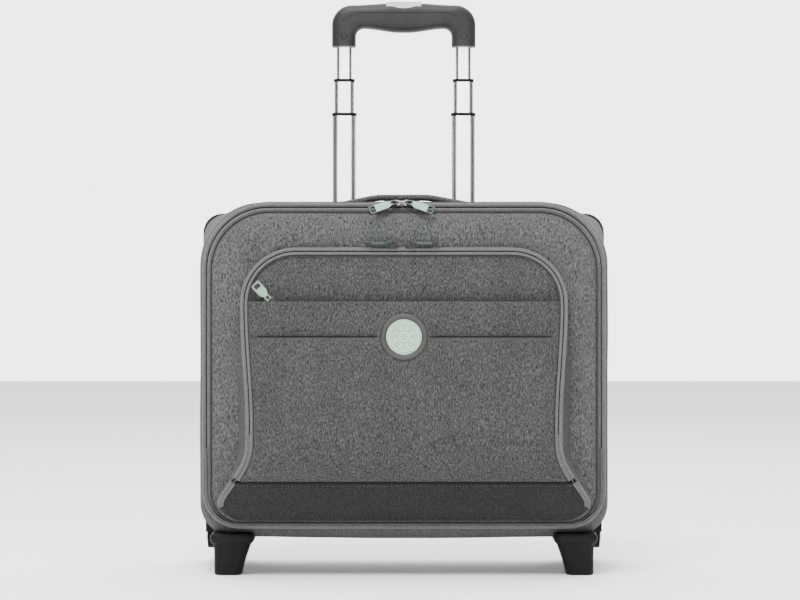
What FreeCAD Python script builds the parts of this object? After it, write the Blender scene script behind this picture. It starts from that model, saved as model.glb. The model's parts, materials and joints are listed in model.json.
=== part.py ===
"""Rolling laptop case: a two-wheeled soft trolley case with a telescopic handle.

Frame, millimetres: X to the right seen from the front, Y to the back, Z up, with the origin on the floor
under the middle of the case. The lid turns down about its bottom seam. The organiser pocket on the lid
opens with a flap, which turns down about the pocket's lower seam. The handle has three moving stages.
"""
import FreeCAD, Part
import math
import os

from FreeCAD import Placement, Rotation, Vector
import Sketcher

# Driving dimensions, in millimetres and degrees. Each one is a cell of the sheet with this alias.
SIZES = {
    # soft body, from the mouth at the front to the squarer outline at the back
    "mouth_y": -54, "crown_front": -30, "crown_back": 10, "shelf_y": 46, "rear_y": 88,
    "mouth_width": 430, "mouth_low": 50, "mouth_top": 397, "mouth_round": 70, "mouth_foot_round": 40,
    "body_width": 443, "body_low": 38, "body_round": 50, "body_foot_round": 26,
    "rear_width": 446, "rear_top": 388, "rear_round": 18, "rear_foot_round": 14,
    "wall": 4, "back_thick": 5, "piping": 2.5, "piping_width": 5,
    # zip halves of the mouth, and the lid inside them
    "tape_front": -62, "slit_width": 422, "slit_low": 54, "slit_top": 394, "slit_round": 67, "slit": 0.5,
    "lid_width": 410, "lid_low": 57, "lid_top": 387, "lid_round": 62, "lid_foot_round": 32,
    "lid_front": -70, "lid_back": -62, "lid_tape_front": -66, "lid_tape_back": -60,
    # organiser pocket: a wedge that is flat at the top and deepest at the knee
    "pocket_width": 340, "pocket_top": 348, "pocket_round": 60, "pocket_wall": 3, "pocket_tape": 4,
    "seam_width": 352, "seam_z": 101, "seam_gap": 1, "skirt_width": 396, "skirt_knee": 84, "skirt_low": 60,
    "skirt_round": 14, "face_low_y": -76, "face_seam_y": -100, "knee_z": 150, "face_knee_y": -103,
    "face_top_y": -79, "face_lean": 6.9, "flap_thick": 3.2, "flap_play": 0.4, "pocket_reach": -130,
    "waist_z": 126, "waist_round": 60, "flap_waist_round": 40, "flare_z": 107, "flare_round": 24,
    "skirt_bend_round": 10,
    # slip pocket on the flap, and the round badge on the slip pocket
    "slip_width": 328, "slip_low": 107, "slip_top": 291.5, "slip_gap": 6, "slip_thick": 2.2, "slip_side": 4,
    "slip_round": 6, "badge_z": 254.5, "badge_ring_dia": 49.5, "badge_dia": 38, "badge_proud": 2.6,
    # boards and padding inside
    "cover_y": 50, "board_thick": 2, "cover_low": 71, "cover_top": 380, "cover_width": 424,
    "floor_z": 43, "floor_thick": 3, "floor_width": 384, "floor_front": -26,
    "divider_y": 18, "divider_thick": 6, "divider_top": 330, "divider_width": 392,
    "divider_round": 30,
    # telescopic handle: pairs of flat oval tubes, outermost first
    "tube_x": 66.6, "tube_y": 70, "tube_wall": 1.1, "oval": 0.42,
    "outer_w": 31, "outer_d": 20, "outer_low": 62, "outer_top": 342,
    "first_w": 26.7, "first_d": 16.6, "first_low": 224.6, "first_top": 499.6,
    "second_w": 22.5, "second_d": 13.2, "second_low": 272, "second_top": 537.6,
    "third_w": 17.3, "third_d": 9.8, "third_low": 322, "third_top": 600,
    "collar": 3.4, "collar_proud": 0.6, "slide_play": 0.3, "latch_drop": 6, "latch_height": 11,
    # grip, button and rods
    "grip_width": 161, "grip_low": 577, "grip_top": 625, "grip_leg": 27, "grip_bar": 29, "grip_round": 22,
    "grip_inner_round": 9, "grip_depth": 26, "grip_shell": 3,
    "button_w": 38, "button_d": 20, "button_top": 627.5, "button_low": 611, "button_play": 0.4,
    "scoop_r": 34, "scoop_z": 619.5, "yoke_low": 606, "yoke_d": 8, "rod_dia": 4, "rod_low": 336,
    "spring_dia": 9, "spring_wire": 1, "spring_gap": 0.1, "screw_room_w": 5, "screw_room_d": 30,
    "screw_room_low": 612.8, "screw_room_top": 623,
    # cup in the top of the case that the grip sinks into
    "cup_width": 166, "cup_depth": 29, "cup_wall": 1.8, "cup_floor": 338, "cup_rim": 391.5, "rim": 5.5,
    "cup_round": 8,
    # wheels in their housings
    "wheel_x": 195, "wheel_y": 82.2, "wheel_r": 29, "wheel_w": 22, "tread": 6.5, "tread_round": 3,
    "axle_dia": 8, "axle_head": 12, "axle_head_t": 1.6, "bearing_dia": 22, "bearing_w": 7,
    "bearing_play": 0.05,
    "hub_web": 8, "hub_rim": 4, "housing_in": 176, "housing_out": 220, "well_play": 2, "well_r": 32,
    "housing_front": 46, "housing_back": 100, "housing_low": 36, "housing_top": 68, "lobe_r": 14,
    "housing_play": 0.5, "bracket_front": 54, "bracket_back": 81.5, "bracket_low": 43, "bracket_top": 70,
    # front feet
    "foot_x": 183.5, "foot_low_x": 188, "foot_top_w": 39, "foot_low_w": 29, "foot_y": -42, "foot_top_d": 46,
    "foot_low_d": 36, "foot_round": 8, "flange_w": 47, "flange_front": -68, "flange_back": -15,
    "flange_z": 34, "flange_nose": 44, "screw_dia": 4, "screw_head": 8, "screw_head_z": 24,
    "foot_screw_span": 22, "screw_thread": 2, "screw_head_t": 3,
    # carrying handle
    "strap_x": 75, "strap_foot": 13, "strap_rise": 12, "strap_y": -8, "strap_width": 30, "strap_thick": 4.6,
    "strap_gap": 6.6, "strap_lip": 1, "strap_under_r": 20, "strap_over_r": 24, "strap_foot_r": 12,
    # how far a cutting tool reaches past the solid that it cuts
    "past": 10,
    # zip sliders and their pulls
    "slider_l": 11, "slider_w": 8, "slider_t": 3.6, "slip_slider_t": 2.6, "ring_r": 1.6, "ring_wire": 0.5,
    "eye_rise": 1.3, "pull_l": 30, "slip_pull_l": 23, "pull_w": 10.4, "pull_root": 5.8, "pull_t": 1.4,
    "pull_bar": 0.7, "pull_eye_l": 3.6, "pull_eye_w": 3.4, "pull_neck": 5.5, "pull_shoulder": 9,
    "pull_round": 3, "window_l": 4.5, "window_w": 4.6, "window_edge": 2.2, "bar_t": 1.1,
    "zip_mid": -2.5, "main_slider_x": 6.6, "pocket_slider_x": 9.5, "slip_slider_x": -142,
    "main_slider_y": -67, "main_slider_z": 396.1, "main_tilt": 60, "main_droop": 22,
    "pocket_slider_y": -79.5, "pocket_slider_rise": 2.6, "slip_slider_rise": 2.9, "slip_lean": 47,
}

doc = FreeCAD.newDocument("rolling_laptop_case")
dims = doc.addObject("Spreadsheet::Sheet", "dims")
for row, (alias, number) in enumerate(SIZES.items(), 1):
    dims.set(f"A{row}", alias)
    dims.set(f"B{row}", str(number))
    dims.setAlias(f"B{row}", alias)
doc.recompute()

sub_parts = []  # the objects that are written out, one file each
made = 0        # how many helper objects exist, to give each its own name


class Size:
    """A length that knows both its value and the expression that binds it to the sheet."""

    def __init__(self, text, value):
        self.text = text
        self.value = value

    def joined(self, other, sign, value):
        return Size(f"({self.text} {sign} {as_size(other).text})", value)

    def __add__(self, other):
        return self.joined(other, "+", self.value + as_size(other).value)

    def __sub__(self, other):
        return self.joined(other, "-", self.value - as_size(other).value)

    def __mul__(self, other):
        return self.joined(other, "*", self.value * as_size(other).value)

    def __truediv__(self, other):
        return self.joined(other, "/", self.value / as_size(other).value)

    def __neg__(self):
        return Size(f"(0 - {self.text})", -self.value)

    def __rmul__(self, other):
        return as_size(other) * self

    def __radd__(self, other):
        return as_size(other) + self

    def __rsub__(self, other):
        return as_size(other) - self


def as_size(number):
    """A Size as it is, or a plain number as a constant Size."""
    return number if isinstance(number, Size) else Size(f"({number})", float(number))


def get(alias):
    """The cell of the sheet with this alias, as a Size."""
    return Size(f"dims.{alias}", float(dims.get(alias)))


def sine(angle):
    return Size(f"sin({angle.text} * 1 deg)", math.sin(math.radians(angle.value)))


def cosine(angle):
    return Size(f"cos({angle.text} * 1 deg)", math.cos(math.radians(angle.value)))


def bind(thing, **sizes):
    """Binds properties of an object to expressions, such as Length=get('wall')."""
    for name, size in sizes.items():
        thing.setExpression(name, as_size(size).text)


def place(thing, x=0, y=0, z=0, rotation=None):
    """Puts an object at a point whose coordinates follow the sheet, with a fixed or given rotation."""
    if rotation is not None:
        thing.Placement = Placement(Vector(), rotation)
    for axis, size in zip("xyz", (x, y, z)):
        thing.setExpression(f"Placement.Base.{axis}", as_size(size).text)
    return thing


def add(kind, label):
    """A new object. A helper object's label starts with an underscore and it is not written out."""
    global made
    made += 1
    thing = doc.addObject(kind, f"Object{made:03d}")
    thing.Label = label
    return thing


def keep(thing, label):
    """Names a finished sub-part, which will be written to its own file."""
    thing.Label = label
    sub_parts.append(thing)
    return thing


# ---- sketches and solids ----

def new_body():
    return add("PartDesign::Body", f"_body{made}")


def origin_plane(body, role):
    return next(feature for feature in body.Origin.OriginFeatures if feature.Role == role)


def sketch_on(body, role, offset):
    """An empty sketch on one of the body's origin planes, moved along the plane's normal."""
    sketch = body.newObject("Sketcher::SketchObject", f"{body.Name}_sketch")
    sketch.AttachmentSupport = (origin_plane(body, role), "")
    sketch.MapMode = "FlatFace"
    sketch.setExpression(".AttachmentOffset.Base.z", as_size(offset).text)
    return sketch


def pin_point(sketch, geometry, position, x, y):
    """Ties a point of the sketch to coordinates that follow the sheet."""
    for kind, size in (("DistanceX", as_size(x)), ("DistanceY", as_size(y))):
        index = sketch.addConstraint(Sketcher.Constraint(kind, -1, 1, geometry, position, size.value))
        sketch.setExpression(f"Constraints[{index}]", size.text)


def corner_round(before, corner, after, radius):
    """The round of a corner: where it meets both edges, and a counter-clockwise arc between the two."""
    to_before = (before - corner).normalize()
    to_after = (after - corner).normalize()
    half = to_before.getAngle(to_after) / 2
    reach = radius / math.tan(half)
    centre = corner + (to_before + to_after).normalize() * (radius / math.sin(half))
    first, last = corner + to_before * reach, corner + to_after * reach
    turns_left = to_before.cross(to_after).z < 0
    ends = (first, last) if turns_left else (last, first)
    angles = [math.atan2(end.y - centre.y, end.x - centre.x) for end in ends]
    arc = Part.ArcOfCircle(Part.Circle(centre, Vector(0, 0, 1), radius), *angles)
    return first, arc, last, turns_left


def outline(sketch, corners):
    """A closed outline through corners (x, y, round), where a round of None is a sharp corner."""
    spots = [Vector(as_size(x).value, as_size(y).value, 0) for x, y, _ in corners]
    count = len(corners)
    starts, ends, arcs, lefts = {}, {}, {}, {}
    for i, (_, _, radius) in enumerate(corners):
        starts[i] = ends[i] = spots[i]
        if radius is not None:
            before, after = spots[i - 1], spots[(i + 1) % count]
            rounded = corner_round(before, spots[i], after, as_size(radius).value)
            ends[i], arcs[i], starts[i], lefts[i] = rounded
    first = sketch.GeometryCount
    for i in range(count):
        sketch.addGeometry(Part.LineSegment(starts[i], ends[(i + 1) % count]), False)
    for i, (x, y, radius) in enumerate(corners):
        line_in, line_out = first + (i - 1) % count, first + i
        if radius is None:
            sketch.addConstraint(Sketcher.Constraint("Coincident", line_in, 2, line_out, 1))
            pin_point(sketch, line_out, 1, x, y)
            continue
        arc = sketch.addGeometry(arcs[i], False)
        at_in = 1 if lefts[i] else 2
        sketch.addConstraint(Sketcher.Constraint("Tangent", line_in, 2, arc, at_in))
        sketch.addConstraint(Sketcher.Constraint("Tangent", line_out, 1, arc, 3 - at_in))
        corner = sketch.addGeometry(Part.Point(spots[i]), True)
        pin_point(sketch, corner, 1, x, y)
        sketch.addConstraint(Sketcher.Constraint("PointOnObject", corner, 1, line_in))
        sketch.addConstraint(Sketcher.Constraint("PointOnObject", corner, 1, line_out))
        index = sketch.addConstraint(Sketcher.Constraint("Radius", arc, as_size(radius).value))
        sketch.setExpression(f"Constraints[{index}]", as_size(radius).text)
    return sketch


def prism(role, corners, low, high, holes=()):
    """A body padded from an outline between two offsets: along Y for XZ_Plane, X for YZ_Plane, Z for XY."""
    body = new_body()
    back = role == "XZ_Plane"
    sketch = sketch_on(body, role, -as_size(high) if back else low)
    outline(sketch, corners)
    for hole in holes:
        outline(sketch, hole)
    pad = body.newObject("PartDesign::Pad", f"{body.Name}_pad")
    pad.Profile = sketch
    bind(pad, Length=as_size(high) - low)
    return body


def loft(role, sections, inner=()):
    """A body lofted through (offset, corners) sections, less an inner loft where one is given."""
    body = new_body()
    for kind, stations in (("Additive", sections), ("Subtractive", inner)):
        if not stations:
            continue
        sketches = [outline(sketch_on(body, role, offset), corners) for offset, corners in stations]
        feature = body.newObject(f"PartDesign::{kind}Loft", f"{body.Name}_{kind}")
        feature.Profile = sketches[0]
        feature.Sections = sketches[1:]
        feature.Ruled = True
    return body


def revolved(corners):
    """A body turned about its own X axis from an outline of (x, distance from the axis, round)."""
    body = new_body()
    sketch = outline(sketch_on(body, "XZ_Plane", 0), corners)
    turn = body.newObject("PartDesign::Revolution", f"{body.Name}_turn")
    turn.Profile = sketch
    turn.ReferenceAxis = (sketch, ["H_Axis"])
    turn.Angle = 360
    return body


def box(x, y, z):
    """A box between pairs of coordinates."""
    solid = add("Part::Box", f"_box{made}")
    bind(solid, Length=as_size(x[1]) - x[0], Width=as_size(y[1]) - y[0], Height=as_size(z[1]) - z[0])
    return place(solid, x[0], y[0], z[0])


TURNS = {"x": Rotation(Vector(0, 1, 0), 90), "y": Rotation(Vector(1, 0, 0), -90), "z": Rotation()}


def rod(axis, x, y, z, dia, length):
    """A cylinder that starts at a point and runs along +X, +Y or +Z."""
    solid = add("Part::Cylinder", f"_rod{made}")
    bind(solid, Radius=as_size(dia) / 2, Height=length)
    return place(solid, x, y, z, TURNS[axis])


def joined(kind, base, tools):
    """A Part boolean of a base and tools: Cut, MultiFuse or MultiCommon."""
    if kind == "Cut":
        for tool in tools:
            cut = add("Part::Cut", f"_cut{made}")
            cut.Base, cut.Tool = base, tool
            base = cut
        return base
    whole = add(f"Part::{kind}", f"_{kind}{made}")
    whole.Shapes = [base, *tools]
    return whole


def cut(base, *tools):
    return joined("Cut", base, tools)


def fuse(base, *others):
    return joined("MultiFuse", base, others)


def common(base, *others):
    return joined("MultiCommon", base, others)


def group(*solids):
    """Separate solids of one kind kept in one node, such as screws."""
    bundle = add("Part::Compound", f"_group{made}")
    bundle.Links = list(solids)
    return bundle


def frame_corners(half, low, top, foot_round, top_round):
    """The four corners of an upright outline, the same on both sides."""
    right = [(half, low, foot_round), (half, top, top_round)]
    return right + [(-half, top, top_round), (-half, low, foot_round)]


def tube_corners(w, d, x=0, y=0):
    """The rounded section of a flat oval tube seen from above."""
    radius = d * get("oval")
    half_w, half_d = w / 2, d / 2
    return [(x + sx * half_w, y + sy * half_d, radius) for sx, sy in ((-1, -1), (1, -1), (1, 1), (-1, 1))]


# ---- soft body of the case ----

def body_section(width, low, top, foot_round, top_round, inset):
    """An outline of the case, drawn in by the inset all round."""
    half = get(width) / 2 - inset
    return frame_corners(half, get(low) + inset, get(top) - inset, get(foot_round), get(top_round))


def body_stations(inset):
    """Outlines of the case from front to back, for the loft; offsets run towards -Y."""
    mouth = body_section("mouth_width", "mouth_low", "mouth_top", "mouth_foot_round", "mouth_round", inset)
    crown = body_section("body_width", "body_low", "mouth_top", "body_foot_round", "body_round", inset)
    shelf = body_section("rear_width", "body_low", "rear_top", "rear_foot_round", "rear_round", inset)
    places = (("mouth_y", mouth), ("crown_front", crown), ("crown_back", crown), ("shelf_y", shelf),
              ("rear_y", shelf))
    return [(-get(alias), corners) for alias, corners in places]


def corner_space(side):
    """The room at a bottom rear corner that the wheel housing fills."""
    inner, outer = get("housing_in") - get("housing_play"), get("rear_width") / 2 + get("past")
    x = (inner, outer) if side > 0 else (-outer, -inner)
    front = get("housing_front") - get("housing_play")
    top = get("housing_top") + get("housing_play")
    return box(x, (front, get("housing_back") + get("past")), (0, top))


def foot_screws(play=0):
    """Two screws up through each front foot into the case, heads down."""
    solids = []
    head_z, thick = get("screw_head_z"), get("screw_head_t")
    tip_z = get("floor_z") + get("screw_thread")
    for side in (-1, 1):
        for step in (-1, 1):
            y = get("foot_y") + step * get("foot_screw_span") / 2
            x = side * get("foot_x")
            shank = rod("z", x, y, head_z, get("screw_dia") + play, tip_z - head_z)
            head = rod("z", x, y, head_z - thick, get("screw_head") + play, thick)
            solids.append(fuse(shank, head))
    return solids


def main_gusset():
    shell = loft("XZ_Plane", body_stations(0), body_stations(get("wall")))
    half, mid = get("cup_width") / 2 + get("cup_wall"), get("tube_y")
    deep = get("cup_depth") / 2 + get("cup_wall")
    heights = (get("rear_top") - get("past"), get("rear_top") + get("past"))
    mouth_of_cup = box((-half, half), (mid - deep, mid + deep), heights)
    keep(cut(shell, mouth_of_cup, corner_space(-1), corner_space(1), *foot_screws()), "main_gusset")


def back_panel():
    corners = body_section("rear_width", "body_low", "rear_top", "rear_foot_round", "rear_round", 0)
    panel = prism("XZ_Plane", corners, get("rear_y"), get("rear_y") + get("back_thick"))
    keep(cut(panel, corner_space(-1), corner_space(1)), "back_panel")


def rear_piping():
    inner = body_section("rear_width", "body_low", "rear_top", "rear_foot_round", "rear_round", 0)
    outer = frame_corners(get("rear_width") / 2 + get("piping"), get("body_low") - get("piping"),
                          get("rear_top") + get("piping"), get("rear_foot_round") + get("piping"),
                          get("rear_round") + get("piping"))
    ring = prism("XZ_Plane", outer, get("rear_y"), get("rear_y") + get("piping_width"), [inner])
    keep(cut(ring, corner_space(-1), corner_space(1)), "rear_piping")


def case_zip_tape():
    outer = body_section("mouth_width", "mouth_low", "mouth_top", "mouth_foot_round", "mouth_round", 0)
    inner = frame_corners(get("slit_width") / 2, get("slit_low"), get("slit_top"), get("lid_foot_round") + 4,
                          get("slit_round"))
    keep(prism("XZ_Plane", outer, get("tape_front"), get("mouth_y"), [inner]), "case_zip_tape")


def boards():
    """The panel in front of the tubes, the board on the floor of the case and the padded divider."""
    half = get("cover_width") / 2
    panel = box((-half, half), (get("cover_y"), get("cover_y") + get("board_thick")),
                (get("cover_low"), get("cover_top")))
    keep(panel, "tube_cover_panel")
    half = get("floor_width") / 2
    top = get("floor_z") + get("floor_thick")
    floor = box((-half, half), (get("floor_front"), get("housing_front") - 2), (get("floor_z"), top))
    keep(floor, "floor_board")
    half = get("divider_width") / 2
    corners = frame_corners(half, top, get("divider_top"), None, get("divider_round"))
    back = get("divider_y") + get("divider_thick")
    keep(prism("XZ_Plane", corners, get("divider_y"), back), "laptop_divider")


def top_handle():
    """A webbing strap that bows up between its two sewn ends."""
    end, foot, low = get("strap_x"), get("strap_foot"), get("mouth_top")
    rise, thick = get("strap_gap"), get("strap_thick")
    bend = end - foot
    flat = bend - get("strap_rise")
    under_r, over_r, foot_r = get("strap_under_r"), get("strap_over_r"), get("strap_foot_r")
    lip, crest = low + thick - get("strap_lip"), low + rise + thick
    under = [(-end, low, None), (-bend, low, None), (-flat, low + rise, under_r), (flat, low + rise, under_r),
             (bend, low, None), (end, low, None)]
    over = [(end, lip, None), (bend, low + thick, foot_r), (flat, crest, over_r), (-flat, crest, over_r),
            (-bend, low + thick, foot_r), (-end, lip, None)]
    half = get("strap_width") / 2
    keep(prism("XZ_Plane", under + over, get("strap_y") - half, get("strap_y") + half), "top_handle")


# ---- lid and organiser pocket ----

def lid():
    panel = frame_corners(get("lid_width") / 2, get("lid_low"), get("lid_top"), get("lid_foot_round"),
                          get("lid_round"))
    keep(prism("XZ_Plane", panel, get("lid_front"), get("lid_back")), "lid_panel")
    half, top = get("slit_width") / 2 - get("slit"), get("slit_top") - get("slit")
    outer = frame_corners(half, get("lid_low"), top, get("lid_foot_round") + 4, get("slit_round"))
    keep(prism("XZ_Plane", outer, get("lid_tape_front"), get("lid_tape_back"), [panel]), "lid_zip_tape")


def pocket_corners(inset, low, top_only):
    """The pocket's front outline: a rounded top, straight sides and a skirt that widens below the seam."""
    half, waist, top = get("pocket_width") / 2 - inset, get("waist_z"), get("pocket_top") - inset
    seam, top_round = get("seam_width") / 2 - inset, get("pocket_round") - inset
    right = [(seam, low, None), (half, waist, get("flap_waist_round")), (half, top, top_round)]
    if not top_only:
        skirt = get("skirt_width") / 2 - inset
        right = [(skirt, low, get("skirt_round")), (skirt, get("skirt_knee"), get("skirt_bend_round")),
                 (seam, get("flare_z"), get("flare_round")), (half, waist, get("waist_round")),
                 (half, top, top_round)]
    return right + [(-1 * x, z, r) for x, z, r in reversed(right)]


def face_at(z):
    """Where the pocket's front face stands at a height above or below its knee."""
    knee_y, knee_z = get("face_knee_y"), get("knee_z")
    if as_size(z).value < knee_z.value:
        return knee_y + (knee_z - z) * (get("face_seam_y") - knee_y) / (knee_z - get("seam_z"))
    return knee_y + (z - knee_z) * (get("face_top_y") - knee_y) / (get("pocket_top") - knee_z)


def face_band(shift, thick, low, top):
    """A full-width slab that follows the pocket's front face, pushed forward by the shift."""
    front = [(face_at(z) - shift, z, None) for z in (as_size(low), get("knee_z"), as_size(top))]
    back = [(y + thick, z, None) for y, z, _ in reversed(front)]
    half = get("skirt_width") / 2 + 10
    return prism("YZ_Plane", front + back, -half, half)


def wedge(shift, low_y, low):
    """The full-width wedge between the lid and the pocket's front face, moved back by the shift."""
    points = [(get("lid_front"), low, None), (get(low_y) + shift, low, None),
              (get("face_seam_y") + shift, get("seam_z"), None),
              (get("face_knee_y") + shift, get("knee_z"), None),
              (get("face_top_y") + shift, get("pocket_top"), None),
              (get("lid_front"), get("pocket_top"), None)]
    half = get("skirt_width") / 2 + get("past")
    return prism("YZ_Plane", points, -half, half)


def full_depth(corners, holes=()):
    """An outline drawn through the whole depth of the pocket."""
    return prism("XZ_Plane", corners, get("pocket_reach"), get("lid_front"), holes)


def pocket_on_lid():
    wall, low, seam = get("pocket_wall"), get("skirt_low"), get("seam_z")
    behind_flap = get("flap_thick") + get("flap_play")
    ring = full_depth(pocket_corners(0, low, False), [pocket_corners(wall, low + wall, False)])
    tape_band = face_band(-1 * behind_flap, wall, seam, get("pocket_top"))
    inside_tape = pocket_corners(wall + get("pocket_tape"), seam, True)
    tape_ring = full_depth(pocket_corners(0, seam, True), [inside_tape])
    gusset = common(ring, wedge(behind_flap, "face_low_y", low))
    skirt_points = [(get("face_low_y"), low, None), (get("face_seam_y"), seam - get("seam_gap"), None),
                    (get("face_seam_y") + behind_flap, seam - get("seam_gap"), None),
                    (get("face_low_y") + behind_flap, low, None)]
    half = get("skirt_width") / 2 + get("past")
    skirt = common(full_depth(pocket_corners(0, low, False)), prism("YZ_Plane", skirt_points, -half, half))
    keep(cut(gusset, skirt), "pocket_gusset")
    keep(skirt, "pocket_skirt")
    keep(cut(common(tape_ring, tape_band), gusset), "pocket_zip_tape")


def flap():
    """The pocket's front panel, with its zip tape round the edge."""
    seam, tape, thick = get("seam_z") + get("seam_gap"), get("pocket_tape"), get("flap_thick")
    whole, whole_again = [face_band(0, thick, seam, get("pocket_top")) for _ in range(2)]
    panel = full_depth(pocket_corners(tape, seam, True))
    rim = full_depth(pocket_corners(0, seam, True), [pocket_corners(tape, seam, True)])
    keep(common(panel, whole), "pocket_front_panel")
    keep(common(rim, whole_again), "flap_zip_tape")


def slip_pocket():
    """A pan sewn to the flap round its sides and foot, open at the top."""
    half, low, top = get("slip_width") / 2, get("slip_low"), get("slip_top")
    gap, thick, side = get("slip_gap"), get("slip_thick"), get("slip_side")
    outer = frame_corners(half, low, top, get("slip_round"), None)
    inner = frame_corners(half - side, low + side, top + 2 * get("past"), get("slip_round"), None)
    front = common(full_depth(outer), face_band(gap + thick, thick, low, top + 1))
    walls = cut(common(full_depth(outer), face_band(gap, gap, low, top + 1)), full_depth(inner))
    keep(fuse(front, walls), "slip_pocket_panel")


def badge():
    """A round badge in a raised ring, square to the sloping face of the slip pocket."""
    lean = Rotation(Vector(1, 0, 0), 90 - get("face_lean").value)
    y = face_at(get("badge_z")) - get("slip_gap") - get("slip_thick") - 0.05
    ring_r, disc_r, proud = get("badge_ring_dia") / 2, get("badge_dia") / 2, get("badge_proud")
    turn = Rotation(Vector(0, 1, 0), 90)
    ring = revolved([(0, disc_r, None), (proud, disc_r, None), (proud, ring_r, 1.2), (0, ring_r, None)])
    disc = revolved([(0, 0, None), (proud - 0.8, 0, None), (proud - 0.8, disc_r, 0.5), (0, disc_r, None)])
    for solid, label in ((ring, "badge_ring"), (disc, "badge_disc")):
        keep(place(solid, 0, y, get("badge_z"), lean * turn.inverted()), label)


# ---- zip sliders and pulls ----

def pull_rotation(tilt, side, droop):
    """The pull's own frame: X along the pull, Z away from the surface it lies on."""
    surface = Rotation(Vector(1, 0, 0), tilt)
    along = Rotation(Vector(0, 0, 1), -droop if side > 0 else 180 + droop)
    return surface * along


def zip_slider(x, y, z, rotation, ring_rotation, thick):
    """A slider with a ring on top, whose eye is the point given; thick is the slider's own height."""
    drop = get("eye_rise") + thick
    down = rotation.multVec(Vector(0, 0, -1))
    long_way, cross = rotation.multVec(Vector(1, 0, 0)), rotation.multVec(Vector(0, 1, 0))
    half_l, half_w = get("slider_l") / 2, get("slider_w") / 2
    solid = add("Part::Box", f"_slider{made}")
    bind(solid, Length=get("slider_l"), Width=get("slider_w"), Height=thick)
    spots = []
    for base, axis in ((x, "x"), (y, "y"), (z, "z")):
        shift = getattr(down, axis) * drop - getattr(long_way, axis) * half_l - getattr(cross, axis) * half_w
        spots.append(base + shift)
    place(solid, *spots, rotation)
    ring = add("Part::Torus", f"_ring{made}")
    bind(ring, Radius1=get("ring_r"), Radius2=get("ring_wire"))
    upright = Rotation(Vector(1, 0, 0), 90)
    return fuse(solid, place(ring, x, y, z, ring_rotation * upright))


def pull_tab(length):
    """A flat tab with an eye round its root bar and a small window near its tip."""
    half, root, bar = get("pull_w") / 2, get("pull_root") / 2, get("pull_bar")
    tip, edge = as_size(length), get("window_edge")
    right = [(-bar, -root, None), (get("pull_neck"), -root, 3), (get("pull_shoulder"), -half, 3),
             (tip, -half, get("pull_round"))]
    corners = right + [(x, -1 * y, r) for x, y, r in reversed(right)]
    eye_w = get("pull_eye_w") / 2
    eye = [(bar, -eye_w, None), (bar + get("pull_eye_l"), -eye_w, 0.6), (bar + get("pull_eye_l"), eye_w, 0.6),
           (bar, eye_w, None)]
    far, near = tip - edge, tip - edge - get("window_l")
    win = get("window_w") / 2
    window = [(near, -win, 1), (far, -win, 1), (far, win, 1), (near, win, 1)]
    tab = prism("XY_Plane", corners, -get("pull_t") / 2, get("pull_t") / 2, [eye, window])
    bar_space = box((-bar - 1, bar), (-root, root), (-2, 2))
    bar_solid = box((-bar, bar), (-root, root), (-get("bar_t") / 2, get("bar_t") / 2))
    return fuse(cut(tab, bar_space), bar_solid)


def zip_pair(name, x, y, z, tilt, side, droop, length, thick):
    """One slider and its pull; the slider lies along the zip and the pull leans away by the droop."""
    flat = Rotation(Vector(1, 0, 0), tilt)
    turned = pull_rotation(tilt, side, droop)
    keep(zip_slider(x, y, z, flat, turned, thick), f"{name}_zip_slider")
    tab = pull_tab(length)
    keep(place(tab, x, y, z, turned), f"{name}_zip_pull")


def zips():
    rise = get("slider_t") / 2 + get("eye_rise")
    tilt, droop = get("main_tilt").value, get("main_droop").value
    main_y = get("main_slider_y") - rise * sine(get("main_tilt"))
    main_z = get("main_slider_z") + rise * cosine(get("main_tilt"))
    for side, name in ((-1, "left"), (1, "right")):
        x = get("zip_mid") + side * get("main_slider_x")
        zip_pair(f"main_{name}", x, main_y, main_z, tilt, side, droop, get("pull_l"), get("slider_t"))
        x = get("zip_mid") + side * get("pocket_slider_x")
        z = get("pocket_top") + get("pocket_slider_rise") + rise
        zip_pair(f"pocket_{name}", x, get("pocket_slider_y"), z, 0, side, 0, get("pull_l"), get("slider_t"))
    y = face_at(get("slip_top")) - 0.5 - get("slip_slider_t") - get("eye_rise")
    z = get("slip_top") + get("slip_slider_rise")
    tilt, droop = 90 - get("face_lean").value, -get("slip_lean").value
    zip_pair("slip", get("slip_slider_x"), y, z, tilt, -1, droop, get("slip_pull_l"), get("slip_slider_t"))


# ---- telescopic handle ----

def pair(make):
    """The same solid on the left and on the right, kept as one node's two solids."""
    return group(make(-1), make(1))


def tube_pair(stage, low, top):
    """Two hollow tubes of one stage."""
    wall = get("tube_wall")
    w, d = get(f"{stage}_w"), get(f"{stage}_d")

    def one(side):
        x, y = side * get("tube_x"), get("tube_y")
        bore = tube_corners(w - 2 * wall, d - 2 * wall, x, y)
        return prism("XY_Plane", tube_corners(w, d, x, y), low, top, [bore])
    return pair(one)


def collar_pair(stage, inner, top):
    """Plastic collars on the top of one stage that guide the next one."""
    proud, play = get("collar_proud"), get("slide_play")

    def one(side):
        x, y = side * get("tube_x"), get("tube_y")
        rim = tube_corners(get(f"{stage}_w") + 2 * proud, get(f"{stage}_d") + 2 * proud, x, y)
        hole = tube_corners(get(f"{inner}_w") + 2 * play, get(f"{inner}_d") + 2 * play, x, y)
        return prism("XY_Plane", rim, top, top + get("collar"), [hole])
    return pair(one)


def latch_pair(stage):
    """Latch blocks in the lower ends of one stage; each is a plug with a foot as wide as the tube."""
    wall, play = get("tube_wall"), get("slide_play")
    low = get(f"{stage}_low")

    def one(side):
        x, y = side * get("tube_x"), get("tube_y")
        w, d = get(f"{stage}_w"), get(f"{stage}_d")
        plug_top = low + get("latch_height") - get("latch_drop")
        plug = prism("XY_Plane", tube_corners(w - 2 * wall, d - 2 * wall, x, y), low, plug_top)
        foot = prism("XY_Plane", tube_corners(w - play, d - play, x, y), low - get("latch_drop"), low)
        return fuse(plug, foot)
    return pair(one)


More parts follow.
